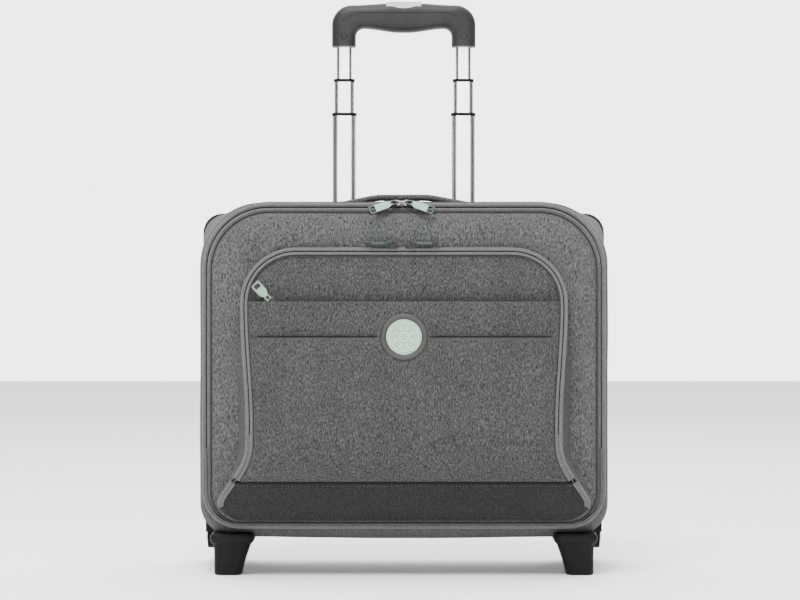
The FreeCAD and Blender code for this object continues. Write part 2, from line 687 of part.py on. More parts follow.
def telescope():
    keep(tube_pair("outer", get("outer_low"), get("outer_top")), "outer_tubes")
    keep(collar_pair("outer", "first", get("outer_top")), "outer_collars")
    for stage, inner in (("first", "second"), ("second", "third")):
        keep(tube_pair(stage, get(f"{stage}_low"), get(f"{stage}_top")), f"{stage}_stage_tubes")
        keep(collar_pair(stage, inner, get(f"{stage}_top")), f"{stage}_stage_collars")
    keep(tube_pair("third", get("third_low"), get("third_top")), "third_stage_tubes")
    for stage in ("first", "second", "third"):
        keep(latch_pair(stage), f"{stage}_stage_latches")


def grip_corners(inset):
    """The upside-down U of the grip seen from the front, drawn in by the inset."""
    half, low, top = get("grip_width") / 2 - inset, get("grip_low") + inset, get("grip_top") - inset
    inner = get("grip_width") / 2 - get("grip_leg") + inset
    under = get("grip_top") - get("grip_bar") + inset
    outer_round, inner_round = get("grip_round") - inset, get("grip_inner_round")
    right = [(inner, low, None), (half, low, 3), (half, top, outer_round)]
    left = [(-1 * x, z, r) for x, z, r in reversed(right)]
    return right + left + [(-inner, under, inner_round), (inner, under, inner_round)]


def grip():
    """Two shells split on the tube plane, with room inside for the tubes, the yoke and the button."""
    mid, half, shell = get("tube_y"), get("grip_depth") / 2, get("grip_shell")
    wide, deep = get("button_w") / 2 + get("button_play"), get("button_d") / 2 + get("button_play")
    for name, low, high in (("front", mid - half, mid), ("rear", mid, mid + half)):
        outer = prism("XZ_Plane", grip_corners(0), low, high)
        inner_low, inner_high = (low + shell, high) if name == "front" else (low, high - shell)
        hollow = prism("XZ_Plane", grip_corners(shell), inner_low, inner_high)
        sockets = [prism("XY_Plane", tube_corners(get("third_w"), get("third_d"), side * get("tube_x"), mid),
                         get("grip_low") - 1, get("grip_low") + shell + 1) for side in (-1, 1)]
        slot = box((-wide, wide), (mid - deep, mid + deep), (get("button_low"), get("grip_top") + 1))
        scoop = rod("y", 0, mid - half - 1, get("scoop_z") + get("scoop_r"), 2 * get("scoop_r"),
                    get("grip_depth") + 2)
        tools = [hollow, *sockets, slot, scoop, *grip_screw_solids()]
        keep(cut(outer, *tools), f"grip_{name}_shell")
    keep(group(*grip_screw_solids()), "grip_screws")


def grip_screw_solids():
    """One screw in each leg, from the front, above the end of the tube."""
    solids = []
    for side in (-1, 1):
        x, z = side * get("tube_x"), get("third_top") + 15
        front = get("tube_y") - get("grip_depth") / 2
        head = rod("y", x, front + 0.6, z, get("screw_head") - 2, 2.4)
        shank = rod("y", x, front + 3, z, get("screw_dia") - 1, get("grip_depth") - 4)
        solids.append(fuse(head, shank))
    return solids


def release_button():
    """A long button whose front edge shows in the scoop of the grip, on a yoke with two push rods."""
    mid, half = get("tube_y"), get("button_d") / 2
    wide, top = get("button_w") / 2, get("button_top")
    corners = [(-wide, get("button_low"), 4), (wide, get("button_low"), 4), (wide, top, 2), (-wide, top, 2)]
    keep(prism("XZ_Plane", corners, mid - half, mid + half), "release_button")
    reach = get("tube_x") + get("rod_dia")
    deep = get("yoke_d") / 2
    yoke = box((-reach, reach), (mid - deep, mid + deep), (get("yoke_low"), get("button_low")))
    keep(cut(yoke, *yoke_clearance()), "push_yoke")
    length = get("yoke_low") - get("rod_low")
    rods = [rod("z", side * get("tube_x"), mid, get("rod_low"), get("rod_dia"), length) for side in (-1, 1)]
    keep(group(*rods), "push_rods")


def yoke_clearance():
    """Room in the yoke for the grip's screws, over the button's travel."""
    solids = []
    for side in (-1, 1):
        x, y = side * get("tube_x"), get("tube_y")
        wide, deep = get("screw_room_w") / 2, get("screw_room_d") / 2
        heights = (get("screw_room_low"), get("screw_room_top"))
        solids.append(box((x - wide, x + wide), (y - deep, y + deep), heights))
    return solids


def button_spring():
    """The envelope of the coil spring between the floor of the grip's bar and the yoke."""
    floor = get("grip_top") - get("grip_bar") + get("grip_shell") + get("spring_gap")
    height = get("yoke_low") - get("spring_gap") - floor
    coil = rod("z", 0, get("tube_y"), floor, get("spring_dia"), height)
    core = rod("z", 0, get("tube_y"), floor - 1, get("spring_dia") - 2 * get("spring_wire"), height + 2)
    keep(cut(coil, core), "button_spring")


def grip_cup():
    """A cup sunk in the top of the case, with a rim on the fabric and holes for the tubes in its floor."""
    mid, wall, floor = get("tube_y"), get("cup_wall"), get("cup_floor")
    half, deep = get("cup_width") / 2, get("cup_depth") / 2
    rim_low, rim_top, rim = get("rear_top"), get("cup_rim"), get("rim")

    def outline_of(grow, radius):
        return [(sx * (half + grow), mid + sy * (deep + grow), radius)
                for sx, sy in ((-1, -1), (1, -1), (1, 1), (-1, 1))]
    cup = prism("XY_Plane", outline_of(wall, get("cup_round")), floor, rim_low)
    ledge_back, ledge_front = get("rear_y") - 0.3, mid - deep - wall - 2
    ledge = box((-half - rim, half + rim), (ledge_front, ledge_back), (rim_low, rim_top))
    room = prism("XY_Plane", outline_of(0, get("cup_round") - wall), get("outer_top"), rim_top + 1)
    holes = [prism("XY_Plane", tube_corners(get("outer_w"), get("outer_d"), side * get("tube_x"), mid),
                   floor - 1, get("outer_top") + 1) for side in (-1, 1)]
    keep(cut(fuse(cup, ledge), room, *holes), "grip_cup")


# ---- base, wheels and feet ----

def base_bracket():
    """A bar between the wheel housings with a socket for each outer tube."""
    half = get("housing_in") - get("housing_play") - 0.5
    heights = (get("bracket_low"), get("bracket_top"))
    bar = box((-half, half), (get("bracket_front"), get("bracket_back")), heights)
    sections = [tube_corners(get("outer_w"), get("outer_d"), side * get("tube_x"), get("tube_y"))
                for side in (-1, 1)]
    sockets = [prism("XY_Plane", section, get("outer_low"), get("bracket_top") + 1) for section in sections]
    keep(cut(bar, *sockets), "base_bracket")


def between(side, inner, outer):
    """A pair of X limits on the left or right side."""
    return (as_size(inner), as_size(outer)) if side > 0 else (-as_size(outer), -as_size(inner))


def well_limits(side):
    half = get("wheel_w") / 2 + get("well_play")
    return between(side, get("wheel_x") - half, get("wheel_x") + half)


def wheel_housing(side, name):
    x = between(side, get("housing_in"), get("housing_out"))
    axle_y, axle_z = get("wheel_y"), get("wheel_r")
    width = get("housing_out") - get("housing_in")
    block = box(x, (get("housing_front"), get("housing_back")), (get("housing_low"), get("housing_top")))
    lobe = rod("x", x[0], axle_y, axle_z, 2 * get("lobe_r"), width)
    cheek_x = well_limits(side)
    room = rod("x", cheek_x[0], axle_y, axle_z, 2 * get("well_r"), cheek_x[1] - cheek_x[0])
    bore = rod("x", x[0] - 1, axle_y, axle_z, get("axle_dia"), width + 2)
    keep(cut(fuse(block, lobe), room, bore), f"wheel_housing_{name}")


def wheel_axles():
    """Headed pins through the cheeks of both housings."""
    def one(side):
        span = get("housing_out") - get("housing_in")
        pin_x = between(side, get("housing_in"), get("housing_out"))[0]
        pin = rod("x", pin_x, get("wheel_y"), get("wheel_r"), get("axle_dia"), span)
        thick = get("axle_head_t")
        head_x = get("housing_out") if side > 0 else -get("housing_out") - thick
        head = rod("x", head_x, get("wheel_y"), get("wheel_r"), get("axle_head"), thick)
        return fuse(pin, head)
    keep(pair(one), "wheel_axles")


def wheel(side, name):
    """A tyre on a spoked hub, with a ball bearing at each end of the hub."""
    half, radius, tread = get("wheel_w") / 2, get("wheel_r"), get("tread")
    hub_r, bore = radius - tread, get("bearing_dia") / 2
    edge, web, rim = get("tread_round"), get("hub_web") / 2, get("hub_rim")
    spot = (side * get("wheel_x"), get("wheel_y"), radius)
    tyre = revolved([(-half, hub_r, None), (half, hub_r, None), (half, radius, edge), (-half, radius, edge)])
    keep(place(tyre, *spot), f"wheel_tyre_{name}")
    inner_end = half - get("bearing_w")
    hub = revolved([(-half, bore, None), (half, bore, None), (half, bore + rim, 1), (web, bore + rim, 1),
                    (web, hub_r - rim, 1), (half - 2, hub_r - rim, 1), (half - 2, hub_r, None),
                    (2 - half, hub_r, None), (2 - half, hub_r - rim, 1), (-web, hub_r - rim, 1),
                    (-web, bore + rim, 1), (-half, bore + rim, 1)])
    keep(place(hub, *spot), f"wheel_hub_{name}")
    axle = get("axle_dia") / 2 + get("bearing_play")
    rings = []
    for low, high in ((-half, -inner_end), (inner_end, half)):
        ring = revolved([(low, axle, None), (high, axle, None), (high, bore, None), (low, bore, None)])
        rings.append(place(ring, *spot))
    keep(group(*rings), f"wheel_bearings_{name}")


def foot(side, name):
    """A tapered leg under a flange that wraps the front edge of the case's floor."""
    def section(x, w, d):
        return [(side * x + sx * w / 2, get("foot_y") + sy * d / 2, get("foot_round"))
                for sx, sy in ((-1, -1), (1, -1), (1, 1), (-1, 1))]
    leg = loft("XY_Plane", [(0, section(get("foot_low_x"), get("foot_low_w"), get("foot_low_d"))),
                            (get("flange_z"), section(get("foot_x"), get("foot_top_w"), get("foot_top_d")))])
    half, low, nose = get("flange_w") / 2, get("flange_z"), get("flange_nose")
    top, front = get("body_low"), get("flange_front")
    saddle = [(front, low, 3), (get("flange_back"), low, None), (get("flange_back"), top, None),
              (get("crown_front"), top, None), (get("mouth_y"), get("mouth_low"), None),
              (front + 4, nose + 3, None), (front, nose, 3)]
    flange = prism("YZ_Plane", saddle, side * get("foot_x") - half, side * get("foot_x") + half)
    wells = [rod("z", side * get("foot_x"), get("foot_y") + step * get("foot_screw_span") / 2, -1,
                 get("screw_head") + 1, get("screw_head_z") + 1) for step in (-1, 1)]
    keep(cut(fuse(leg, flange), *wells, *foot_screws()), f"foot_{name}")


def make_everything():
    main_gusset()
    back_panel()
    rear_piping()
    case_zip_tape()
    boards()
    top_handle()
    lid()
    pocket_on_lid()
    flap()
    slip_pocket()
    badge()
    zips()
    telescope()
    grip()
    release_button()
    button_spring()
    grip_cup()
    base_bracket()
    wheel_axles()
    for side, name in ((-1, "left"), (1, "right")):
        wheel_housing(side, name)
        wheel(side, name)
        foot(side, name)
    keep(group(*foot_screws()), "foot_screws")


def check_and_write():
    """Stops on any failed object, and otherwise writes every sub-part to its own file."""
    faults = [f"{thing.Label}: {thing.State}" for thing in doc.Objects
              if "Invalid" in thing.State or "Error" in thing.State]
    for part in sub_parts:
        if part.Shape.isNull() or not part.Shape.isValid() or not part.Shape.Solids:
            faults.append(f"{part.Label}: no valid solid")
    if faults:
        raise RuntimeError("; ".join(faults))
    os.makedirs("parts", exist_ok=True)
    for part in sub_parts:
        part.Shape.exportStep(f"parts/{part.Label}.step")
        size = part.Shape.BoundBox
        print(f"{part.Label:24s} {len(part.Shape.Solids)} solid(s) {part.Shape.Volume / 1000:9.2f} cm3"
              f"  X {size.XMin:.1f}..{size.XMax:.1f}  Y {size.YMin:.1f}..{size.YMax:.1f}"
              f"  Z {size.ZMin:.1f}..{size.ZMax:.1f}")


make_everything()
doc.recompute()
check_and_write()
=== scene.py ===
"""The looks of the rolling laptop case: sewn fabric, zips, grip, tubes, feet, wheels and studio."""
import json
import math

import bmesh
import bpy
import numpy as np
from mathutils import Matrix, Vector, noise


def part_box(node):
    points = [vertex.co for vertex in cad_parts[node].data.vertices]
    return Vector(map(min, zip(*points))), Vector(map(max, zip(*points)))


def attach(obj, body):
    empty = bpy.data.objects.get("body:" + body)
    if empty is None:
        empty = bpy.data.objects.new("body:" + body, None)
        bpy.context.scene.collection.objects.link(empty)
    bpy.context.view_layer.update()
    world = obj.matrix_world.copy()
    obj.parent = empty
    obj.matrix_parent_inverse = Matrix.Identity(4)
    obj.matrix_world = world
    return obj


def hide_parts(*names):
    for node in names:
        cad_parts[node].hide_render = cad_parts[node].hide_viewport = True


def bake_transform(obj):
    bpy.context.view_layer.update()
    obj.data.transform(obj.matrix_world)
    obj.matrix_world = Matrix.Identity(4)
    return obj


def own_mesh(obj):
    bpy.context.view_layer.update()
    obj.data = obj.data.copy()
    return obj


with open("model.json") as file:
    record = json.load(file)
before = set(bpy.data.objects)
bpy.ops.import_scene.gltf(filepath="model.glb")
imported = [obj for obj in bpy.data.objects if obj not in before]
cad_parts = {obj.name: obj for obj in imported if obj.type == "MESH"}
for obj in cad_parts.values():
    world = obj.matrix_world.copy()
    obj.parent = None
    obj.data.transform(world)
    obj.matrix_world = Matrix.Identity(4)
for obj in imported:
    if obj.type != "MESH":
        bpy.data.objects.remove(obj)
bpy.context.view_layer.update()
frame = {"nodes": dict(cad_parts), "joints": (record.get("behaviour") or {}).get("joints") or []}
RING = 320  # points round each upright outline
ALONG_X, ALONG_Y = Vector((1, 0, 0)), Vector((0, 1, 0))


# ---- sizes read from the frame ----

def limits(node):
    """A node's lowest and highest corners as two vectors, in metres."""
    low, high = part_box(node)
    return Vector(low), Vector(high)


gusset_low, gusset_high = limits("main_gusset")
back_low, back_high = limits("back_panel")
mouth_low, mouth_high = limits("case_zip_tape")
lid_low, lid_high = limits("lid_panel")
flap_tape_high = limits("flap_zip_tape")[1]
ring_low, ring_high = limits("badge_ring")
disc_low, disc_high = limits("badge_disc")
joint_of = {joint["name"]: joint for joint in frame["joints"]}


# ---- node materials ----

class Nodes:
    """A short way to write a procedural material."""

    def __init__(self, name, roughness=0.5, metallic=0.0, **fixed):
        self.material = bpy.data.materials.new(name)
        self.material.use_nodes = True
        self.tree = self.material.node_tree
        self.shader = self.tree.nodes["Principled BSDF"]
        self.shader.inputs["Roughness"].default_value = roughness
        self.shader.inputs["Metallic"].default_value = metallic
        for socket, value in fixed.items():
            self.shader.inputs[socket.replace("_", " ")].default_value = value
        self.place = self.tree.nodes.new("ShaderNodeTexCoord").outputs["Object"]

    def feed(self, target, value):
        """Links a socket to an input, or sets the input to a plain value."""
        if isinstance(value, bpy.types.NodeSocket):
            self.tree.links.new(value, target)
        else:
            target.default_value = value

    def node(self, kind, **inputs):
        made = self.tree.nodes.new(kind)
        for socket, value in inputs.items():
            self.feed(made.inputs[socket.replace("_", " ")], value)
        return made

    def noise(self, scale, detail=2.0, roughness=0.5):
        """Noise at so many cells a metre along X, Y and Z."""
        spread = self.node("ShaderNodeMapping", Vector=self.place, Scale=scale)
        return self.node("ShaderNodeTexNoise", Vector=spread.outputs[0], Scale=1.0, Detail=detail,
                         Roughness=roughness).outputs["Fac"]

    def wave(self, axis, scale, distortion=0.0):
        wave = self.node("ShaderNodeTexWave", Vector=self.place, Scale=scale, Distortion=distortion)
        wave.bands_direction = axis
        return wave.outputs["Fac"]

    def ramp(self, value, *stops):
        """A colour ramp of (position, colour) stops."""
        ramp = self.node("ShaderNodeValToRGB", Fac=value)
        elements = ramp.color_ramp.elements
        while len(elements) < len(stops):
            elements.new(0.5)
        for element, (position, colour) in zip(elements, stops):
            element.position = position
            element.color = (*colour, 1.0)
        return ramp.outputs["Color"]

    def math(self, operation, first, second):
        joined = self.tree.nodes.new("ShaderNodeMath")
        joined.operation = operation
        for socket, value in zip(joined.inputs, (first, second)):
            self.feed(socket, value)
        return joined.outputs[0]

    def multiplied(self, first, second):
        """Two colours, multiplied."""
        mixed = self.tree.nodes.new("ShaderNodeMix")
        mixed.data_type = "RGBA"
        mixed.blend_type = "MULTIPLY"
        for number, value in ((0, 1.0), (6, first), (7, second)):
            self.feed(mixed.inputs[number], value)
        return mixed.outputs[2]

    def colour(self, socket):
        self.tree.links.new(socket, self.shader.inputs["Base Color"])

    def rough(self, socket):
        self.tree.links.new(socket, self.shader.inputs["Roughness"])

    def bump(self, height, depth):
        """Bump whose full height is depth metres."""
        bump = self.node("ShaderNodeBump", Height=height, Strength=1.0, Distance=depth)
        self.tree.links.new(bump.outputs[0], self.shader.inputs["Normal"])


def grey(value):
    return (value, value, value)


def melange(name, dark, light):
    """Heathered woven polyester: short upright flecks of light and dark yarn over a fine weave."""
    m = Nodes(name, roughness=0.95, Sheen_Weight=0.05, Sheen_Roughness=0.5, Specular_IOR_Level=0.12)
    flecks = m.noise((1150, 1150, 330), 3.0, 0.62)
    fine = m.noise((2600, 2600, 1300), 1.0)
    clouds = m.noise((26, 26, 14), 2.0)
    yarn = m.ramp(flecks, (0.30, grey(dark)), (0.5, grey(0.55 * dark + 0.45 * light)), (0.68, grey(light)))
    grain = m.ramp(fine, (0.3, grey(0.66)), (0.7, grey(1.26)))
    shade = m.ramp(clouds, (0.3, grey(0.92)), (0.7, grey(1.06)))
    m.colour(m.multiplied(m.multiplied(yarn, grain), shade))
    warp = m.wave("X", 330.0, 0.6)
    weft = m.wave("Z", 330.0, 0.6)
    height = m.math("ADD", m.math("MULTIPLY", warp, weft), m.math("MULTIPLY", flecks, 0.6))
    m.bump(height, 0.00022)
    return m.material


def tape_cloth(name, dark, light):
    """Smooth woven zip tape with a fine herringbone."""
    m = Nodes(name, roughness=0.85, Sheen_Weight=0.2, Specular_IOR_Level=0.3)
    weave = m.noise((1500, 1500, 420), 2.0)
    m.colour(m.ramp(weave, (0.3, grey(dark)), (0.7, grey(light))))
    m.bump(m.math("MULTIPLY", m.wave("DIAGONAL", 420.0), m.wave("Z", 300.0)), 0.00015)
    return m.material


def lining_cloth():
    m = Nodes("lining", roughness=0.8, Sheen_Weight=0.1, Specular_IOR_Level=0.3)
    weave = m.noise((900, 900, 900), 2.0)
    m.colour(m.ramp(weave, (0.3, (0.016, 0.017, 0.019)), (0.7, (0.034, 0.036, 0.040))))
    m.bump(m.math("MULTIPLY", m.wave("X", 260.0), m.wave("Z", 260.0)), 0.00015)
    return m.material


def moulded(name, colour, roughness, grain=0.00006, coat=0.0, scale=1600, specular=0.5):
    """Moulded plastic or rubber with a fine spark-eroded grain and faint handling marks."""
    m = Nodes(name, roughness=roughness, Coat_Weight=coat, Coat_Roughness=0.25, Specular_IOR_Level=specular)
    spots = m.noise((scale, scale, scale), 3.0)
    wear = m.noise((40, 40, 40), 4.0)
    lighter = tuple(min(1.0, c * 1.25 + 0.004) for c in colour)
    m.colour(m.ramp(wear, (0.35, colour), (0.75, lighter)))
    m.rough(m.math("ADD", roughness - 0.06, m.math("MULTIPLY", wear, 0.12)))
    m.bump(spots, grain)
    return m.material


def polished(name, colour, roughness, grain_axis=(2600, 2600, 12), metal=1.0):
    """Drawn or cast metal with fine lines along one axis."""
    m = Nodes(name, roughness=roughness, metallic=metal)
    lines = m.noise(grain_axis, 2.0)
    marks = m.noise((60, 60, 25), 3.0)
    darker = tuple(0.86 * c for c in colour)
    m.colour(m.ramp(marks, (0.3, darker), (0.6, colour)))
    m.rough(m.math("ADD", roughness - 0.05, m.math("MULTIPLY", lines, 0.12)))
    m.bump(lines, 0.00001)
    return m.material


def badge_mint():
    m = Nodes("badge_mint", roughness=0.5)
    clouds = m.noise((300, 300, 300), 2.0)
    m.colour(m.ramp(clouds, (0.3, (0.250, 0.370, 0.300)), (0.7, (0.290, 0.410, 0.340))))
    m.bump(m.noise((2500, 2500, 2500), 1.0), 0.00002)
    return m.material


FABRIC = melange("melange_fabric", 0.011, 0.134)
# A darker copy of the same melange for the pocket's wall, flap front and slip pocket: painted shade.
POCKET_SHADE_FABRIC = melange("pocket_fabric", 0.008, 0.090)
# A still darker copy of the same melange for the pocket's foot: painted shade.
SKIRT_SHADE_FABRIC = melange("skirt_fabric", 0.004, 0.038)
BAND = tape_cloth("zip_band", 0.050, 0.110)
# Near-black cloth for the piping, seams and binding, and for the cords that paint shade into the grooves
# beside the lid and the pocket front.
PIPING_AND_GROOVE_SHADE = tape_cloth("piping_cloth", 0.006, 0.014)
# A near-black cloth laid in the zip slits and in the slip pocket's corner gap: painted shade where those gaps
# lie in shadow.
SLIT_SHADE = tape_cloth("zip_slit", 0.002, 0.005)
THREAD = tape_cloth("thread", 0.030, 0.060)
LINING = lining_cloth()
BOARD = moulded("board", (0.035, 0.035, 0.037), 0.6)
BLACK = moulded("black_plastic", (0.0022, 0.0022, 0.0025), 0.6, specular=0.14)
GRIP = moulded("grip_plastic", (0.0165, 0.0165, 0.0172), 0.46, 0.00003, specular=0.16)
HUB = moulded("hub_plastic", (0.045, 0.046, 0.048), 0.45)
RUBBER = moulded("tyre_rubber", (0.020, 0.020, 0.021), 0.75, 0.0001, 0.0, 900)
RING_RUBBER = moulded("badge_ring_rubber", (0.022, 0.020, 0.020), 0.6)
MINT = badge_mint()
MINT_RELIEF = moulded("badge_relief", (0.55, 0.62, 0.58), 0.45)
INSERT = moulded("pull_insert", (0.150, 0.270, 0.205), 0.5)
ALUMINIUM = polished("aluminium_tube", (0.95, 0.95, 0.96), 0.16, metal=0.96)
SCREW = polished("screw_head", (0.045, 0.045, 0.048), 0.45, (900, 900, 900))
STEEL = polished("steel", (0.62, 0.62, 0.63), 0.3, (900, 900, 900))
BUTTON = polished("button_metal", (0.56, 0.56, 0.57), 0.34, (40, 2200, 900))
PULL = polished("pull_metal", (0.20, 0.24, 0.22), 0.40, (1500, 1500, 1500))
# The same pull metal made darker for the main and pocket pulls, which are seen edge-on: painted shade.
SHADED_PULL = polished("dark_pull_metal", (0.030, 0.040, 0.037), 0.45, (1500, 1500, 1500))
SLIDER = moulded("slider_enamel", (0.004, 0.004, 0.0045), 0.3, 0.00002, 0.1, specular=0.4)


# ---- mesh helpers ----

def outline(half, low, top, foot_round, top_round):
    """Evenly spaced points (x, z) round an upright outline, from the middle of the bottom, by the right."""
    path = [(0.0, low), (half - foot_round, low)]
    for centre, start, radius in (((half - foot_round, low + foot_round), -90, foot_round),
                                  ((half - top_round, top - top_round), 0, top_round)):
        for step in range(17):
            angle = math.radians(start + 90 * step / 16)
            path.append((centre[0] + radius * math.cos(angle), centre[1] + radius * math.sin(angle)))
    path.append((0.0, top))
    return mirrored(path)


def mirrored(path):
    """A right-hand half path, evenly resampled and closed by its mirror image."""
    path = np.array(path)
    run = np.concatenate([[0], np.cumsum(np.hypot(*np.diff(path, axis=0).T))])
    keep = np.concatenate([[True], np.diff(run) > 1e-9])
    spots = np.linspace(0, run[-1], RING // 2 + 1)
    right = np.stack([np.interp(spots, run[keep], path[keep, k]) for k in (0, 1)], axis=1)
    left = right[-2:0:-1] * (-1, 1)
    return np.concatenate([right, left])


def smooth_path(corners, steps=10):
    """Points (u, v) along an open or closed path through corners (u, v, round)."""
    path = []
    for i, (u, v, radius) in enumerate(corners):
        here = Vector((u, v))
        if not radius or i in (0, len(corners) - 1):
            path.append((u, v))
            continue
        before = (Vector(corners[i - 1][:2]) - here).normalized()
        after = (Vector(corners[i + 1][:2]) - here).normalized()
        half = before.angle(after) / 2
        reach = radius / math.tan(half)
        centre = here + (before + after).normalized() * (radius / math.sin(half))
        first, last = here + before * reach - centre, here + after * reach - centre
        turn = first.angle_signed(last)
        for step in range(steps + 1):
            angle = -turn * step / steps
            path.append(tuple(centre + Matrix.Rotation(angle, 2) @ first))
    return path


def inward(path):
    """Unit normals of a closed path (x, z), pointing to its inside; the path runs counter-clockwise."""
    along = np.roll(path, -1, axis=0) - np.roll(path, 1, axis=0)
    along /= np.hypot(*along.T)[:, None]
    return np.stack([-along[:, 1], along[:, 0]], axis=1)


def ring_at(path, inset, y):
    """The path drawn in by the inset, at a depth y, as points in space."""
    flat = path + inward(path) * np.asarray(inset).reshape(-1, 1)
    depth = np.broadcast_to(y, len(path))
    return np.stack([flat[:, 0], depth, flat[:, 1]], axis=1)


def link(name, mesh, *materials):
    piece = bpy.data.objects.new(name, mesh)
    bpy.context.scene.collection.objects.link(piece)
    for material in materials:
        mesh.materials.append(material)
    return piece


def from_faces(name, points, faces, *materials, smooth=True):
    mesh = bpy.data.meshes.new(name)
    mesh.from_pydata([tuple(p) for p in points], [], faces)
    mesh.validate()
    bm = bmesh.new()
    bm.from_mesh(mesh)
    bmesh.ops.remove_doubles(bm, verts=bm.verts, dist=1e-6)
    bmesh.ops.recalc_face_normals(bm, faces=bm.faces)
    bm.to_mesh(mesh)
    bm.free()
    mesh.polygons.foreach_set("use_smooth", [smooth] * len(mesh.polygons))
    return link(name, mesh, *materials)


def loft(name, rings, *materials, closed=True, around=True, caps=(False, False), smooth=True):
    """A skin over rings of equally many points; closed joins each ring's ends, around joins last to first."""
    count, size = len(rings), len(rings[0])
    points = np.concatenate(rings)
    faces = []
    for i in range(count if around else count - 1):
        here, there = i * size, (i + 1) % count * size
        for j in range(size if closed else size - 1):
            k = (j + 1) % size
            faces.append((here + j, here + k, there + k, there + j))
    if caps[0]:
        faces.append(tuple(range(size - 1, -1, -1)))
    if caps[1]:
        faces.append(tuple((count - 1) * size + j for j in range(size)))
    return from_faces(name, points, faces, *materials, smooth=smooth)


def modify(piece, kind, **settings):
    modifier = piece.modifiers.new(kind.title(), kind)
    for key, value in settings.items():
        setattr(modifier, key, value)
    return modifier


def settle(piece):
    """Applies every modifier of a piece."""
    view = bpy.context.evaluated_depsgraph_get()
    mesh = bpy.data.meshes.new_from_object(piece.evaluated_get(view))
    old = piece.data
    piece.data = mesh
    piece.modifiers.clear()
    bpy.data.meshes.remove(old)
    return piece


def thickened(piece, thickness, offset=-1.0, lined=False):
    """Cloth of a thickness, with its second material on the back if it is lined."""
    lining = {"material_offset": 1, "material_offset_rim": 0} if lined else {}
    modify(piece, "SOLIDIFY", thickness=thickness, offset=offset, **lining)
    return settle(piece)


def dress(piece, body, slot, *nodes):
    """Puts a piece on its body and hides the frame's nodes that it stands for; slot is not used."""
    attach(piece, body)
    if nodes:
        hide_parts(*nodes)
    return piece


def smooth_by_angle(piece, degrees=35):
    """Smooth shading that keeps edges sharper than the angle."""
    mesh = piece.data
    mesh.polygons.foreach_set("use_smooth", [True] * len(mesh.polygons))
    bm = bmesh.new()
    bm.from_mesh(mesh)
    for edge in bm.edges:
        edge.smooth = not (len(edge.link_faces) == 2 and edge.calc_face_angle() > math.radians(degrees))
    bm.to_mesh(mesh)
    bm.free()
    return piece


def displace(piece, move):
    """Moves every vertex of a piece by the vector that the function gives for it."""
    for vertex in piece.data.vertices:
        vertex.co += Vector(move(vertex.co))
    piece.data.update()
    return piece


def ripple(point, scale, seed=0.0):
    """Smooth noise from -1 to 1 at so many waves a metre."""
    return noise.noise(Vector((point[0] * scale[0] + seed, point[1] * scale[1], point[2] * scale[2])))


def cut_window(piece, low, high):
    """Cuts a box-shaped window out of a skin, with clean edges."""
    bm = bmesh.new()
    bm.from_mesh(piece.data)
    for axis in range(3):
        for place in (low[axis], high[axis]):
            near = [f for f in bm.faces if all(low[k] - 0.03 < f.calc_center_median()[k] < high[k] + 0.03
                                               for k in range(3))]
            parts = {v for f in near for v in f.verts} | {e for f in near for e in f.edges} | set(near)
            normal = [float(k == axis) for k in range(3)]
            spot = [place * n for n in normal]
            bmesh.ops.bisect_plane(bm, geom=list(parts), dist=1e-6, plane_co=spot, plane_no=normal)
    inside = [f for f in bm.faces if all(low[k] < f.calc_center_median()[k] < high[k] for k in range(3))]
    bmesh.ops.delete(bm, geom=inside, context="FACES")
    bm.to_mesh(piece.data)
    bm.free()
    return piece


def tube(name, points, radius, material, sides=8, closed=False):
    """A round tube through points in space."""
    curve = bpy.data.curves.new(name, "CURVE")
    curve.dimensions = "3D"
    spline = curve.splines.new("POLY")
    spline.points.add(len(points) - 1)
    for spot, point in zip(spline.points, points):
        spot.co = (*point, 1.0)
    spline.use_cyclic_u = closed
    curve.bevel_depth = radius
    curve.bevel_resolution = max(1, sides // 4)
    curve.use_fill_caps = True
    holder = bpy.data.objects.new(name, curve)
    mesh = bpy.data.meshes.new_from_object(holder)
    bpy.data.objects.remove(holder)
    mesh.polygons.foreach_set("use_smooth", [True] * len(mesh.polygons))
    return link(name, mesh, material)


STITCH, STITCH_GAP, THREAD_RADIUS = 0.0022, 0.0014, 0.00028


def stitches(name, points):
    """A row of separate thread stitches along points in space."""
    points = [Vector(p) for p in points]
    run = [0.0]
    for a, b in zip(points, points[1:]):
        run.append(run[-1] + (b - a).length)

    def at(distance):
        k = min(int(np.searchsorted(run, distance, side="right")) - 1, len(points) - 2)
        return points[k].lerp(points[k + 1], (distance - run[k]) / max(run[k + 1] - run[k], 1e-9))

    spots, faces = [], []
    start = 0.0
    while start + STITCH < run[-1]:
        a, b = at(start), at(start + STITCH)
        along = (b - a).normalized()
        side = along.orthogonal().normalized()
        other = along.cross(side)
        first = len(spots)
        for centre in (a, a.lerp(b, 0.5), b):
            size = THREAD_RADIUS * (0.6 if centre in (a, b) else 1.0)
            for step in range(5):
                angle = 2 * math.pi * step / 5
                spots.append(centre + (side * math.cos(angle) + other * math.sin(angle)) * size)
        for row in (first, first + 5):
            for j in range(5):
                k = (j + 1) % 5
                faces.append((row + j, row + k, row + 5 + k, row + 5 + j))
        faces += [tuple(first + j for j in range(4, -1, -1)), tuple(first + 10 + j for j in range(5))]
        start += STITCH + STITCH_GAP
    return from_faces(name, spots, faces, THREAD)


def join(name, pieces):
    """Several meshes as one piece, keeping their materials."""
    bpy.ops.object.select_all(action="DESELECT")
    for piece in pieces:
        piece.select_set(True)
    bpy.context.view_layer.objects.active = pieces[0]
    bpy.ops.object.join()
    pieces[0].name = name
    return pieces[0]


def bevelled(piece, width, segments=3, angle=30):
    modify(piece, "BEVEL", width=width, segments=segments, limit_method="ANGLE",
           angle_limit=math.radians(angle), harden_normals=False)
    return smooth_by_angle(settle(piece), 40)


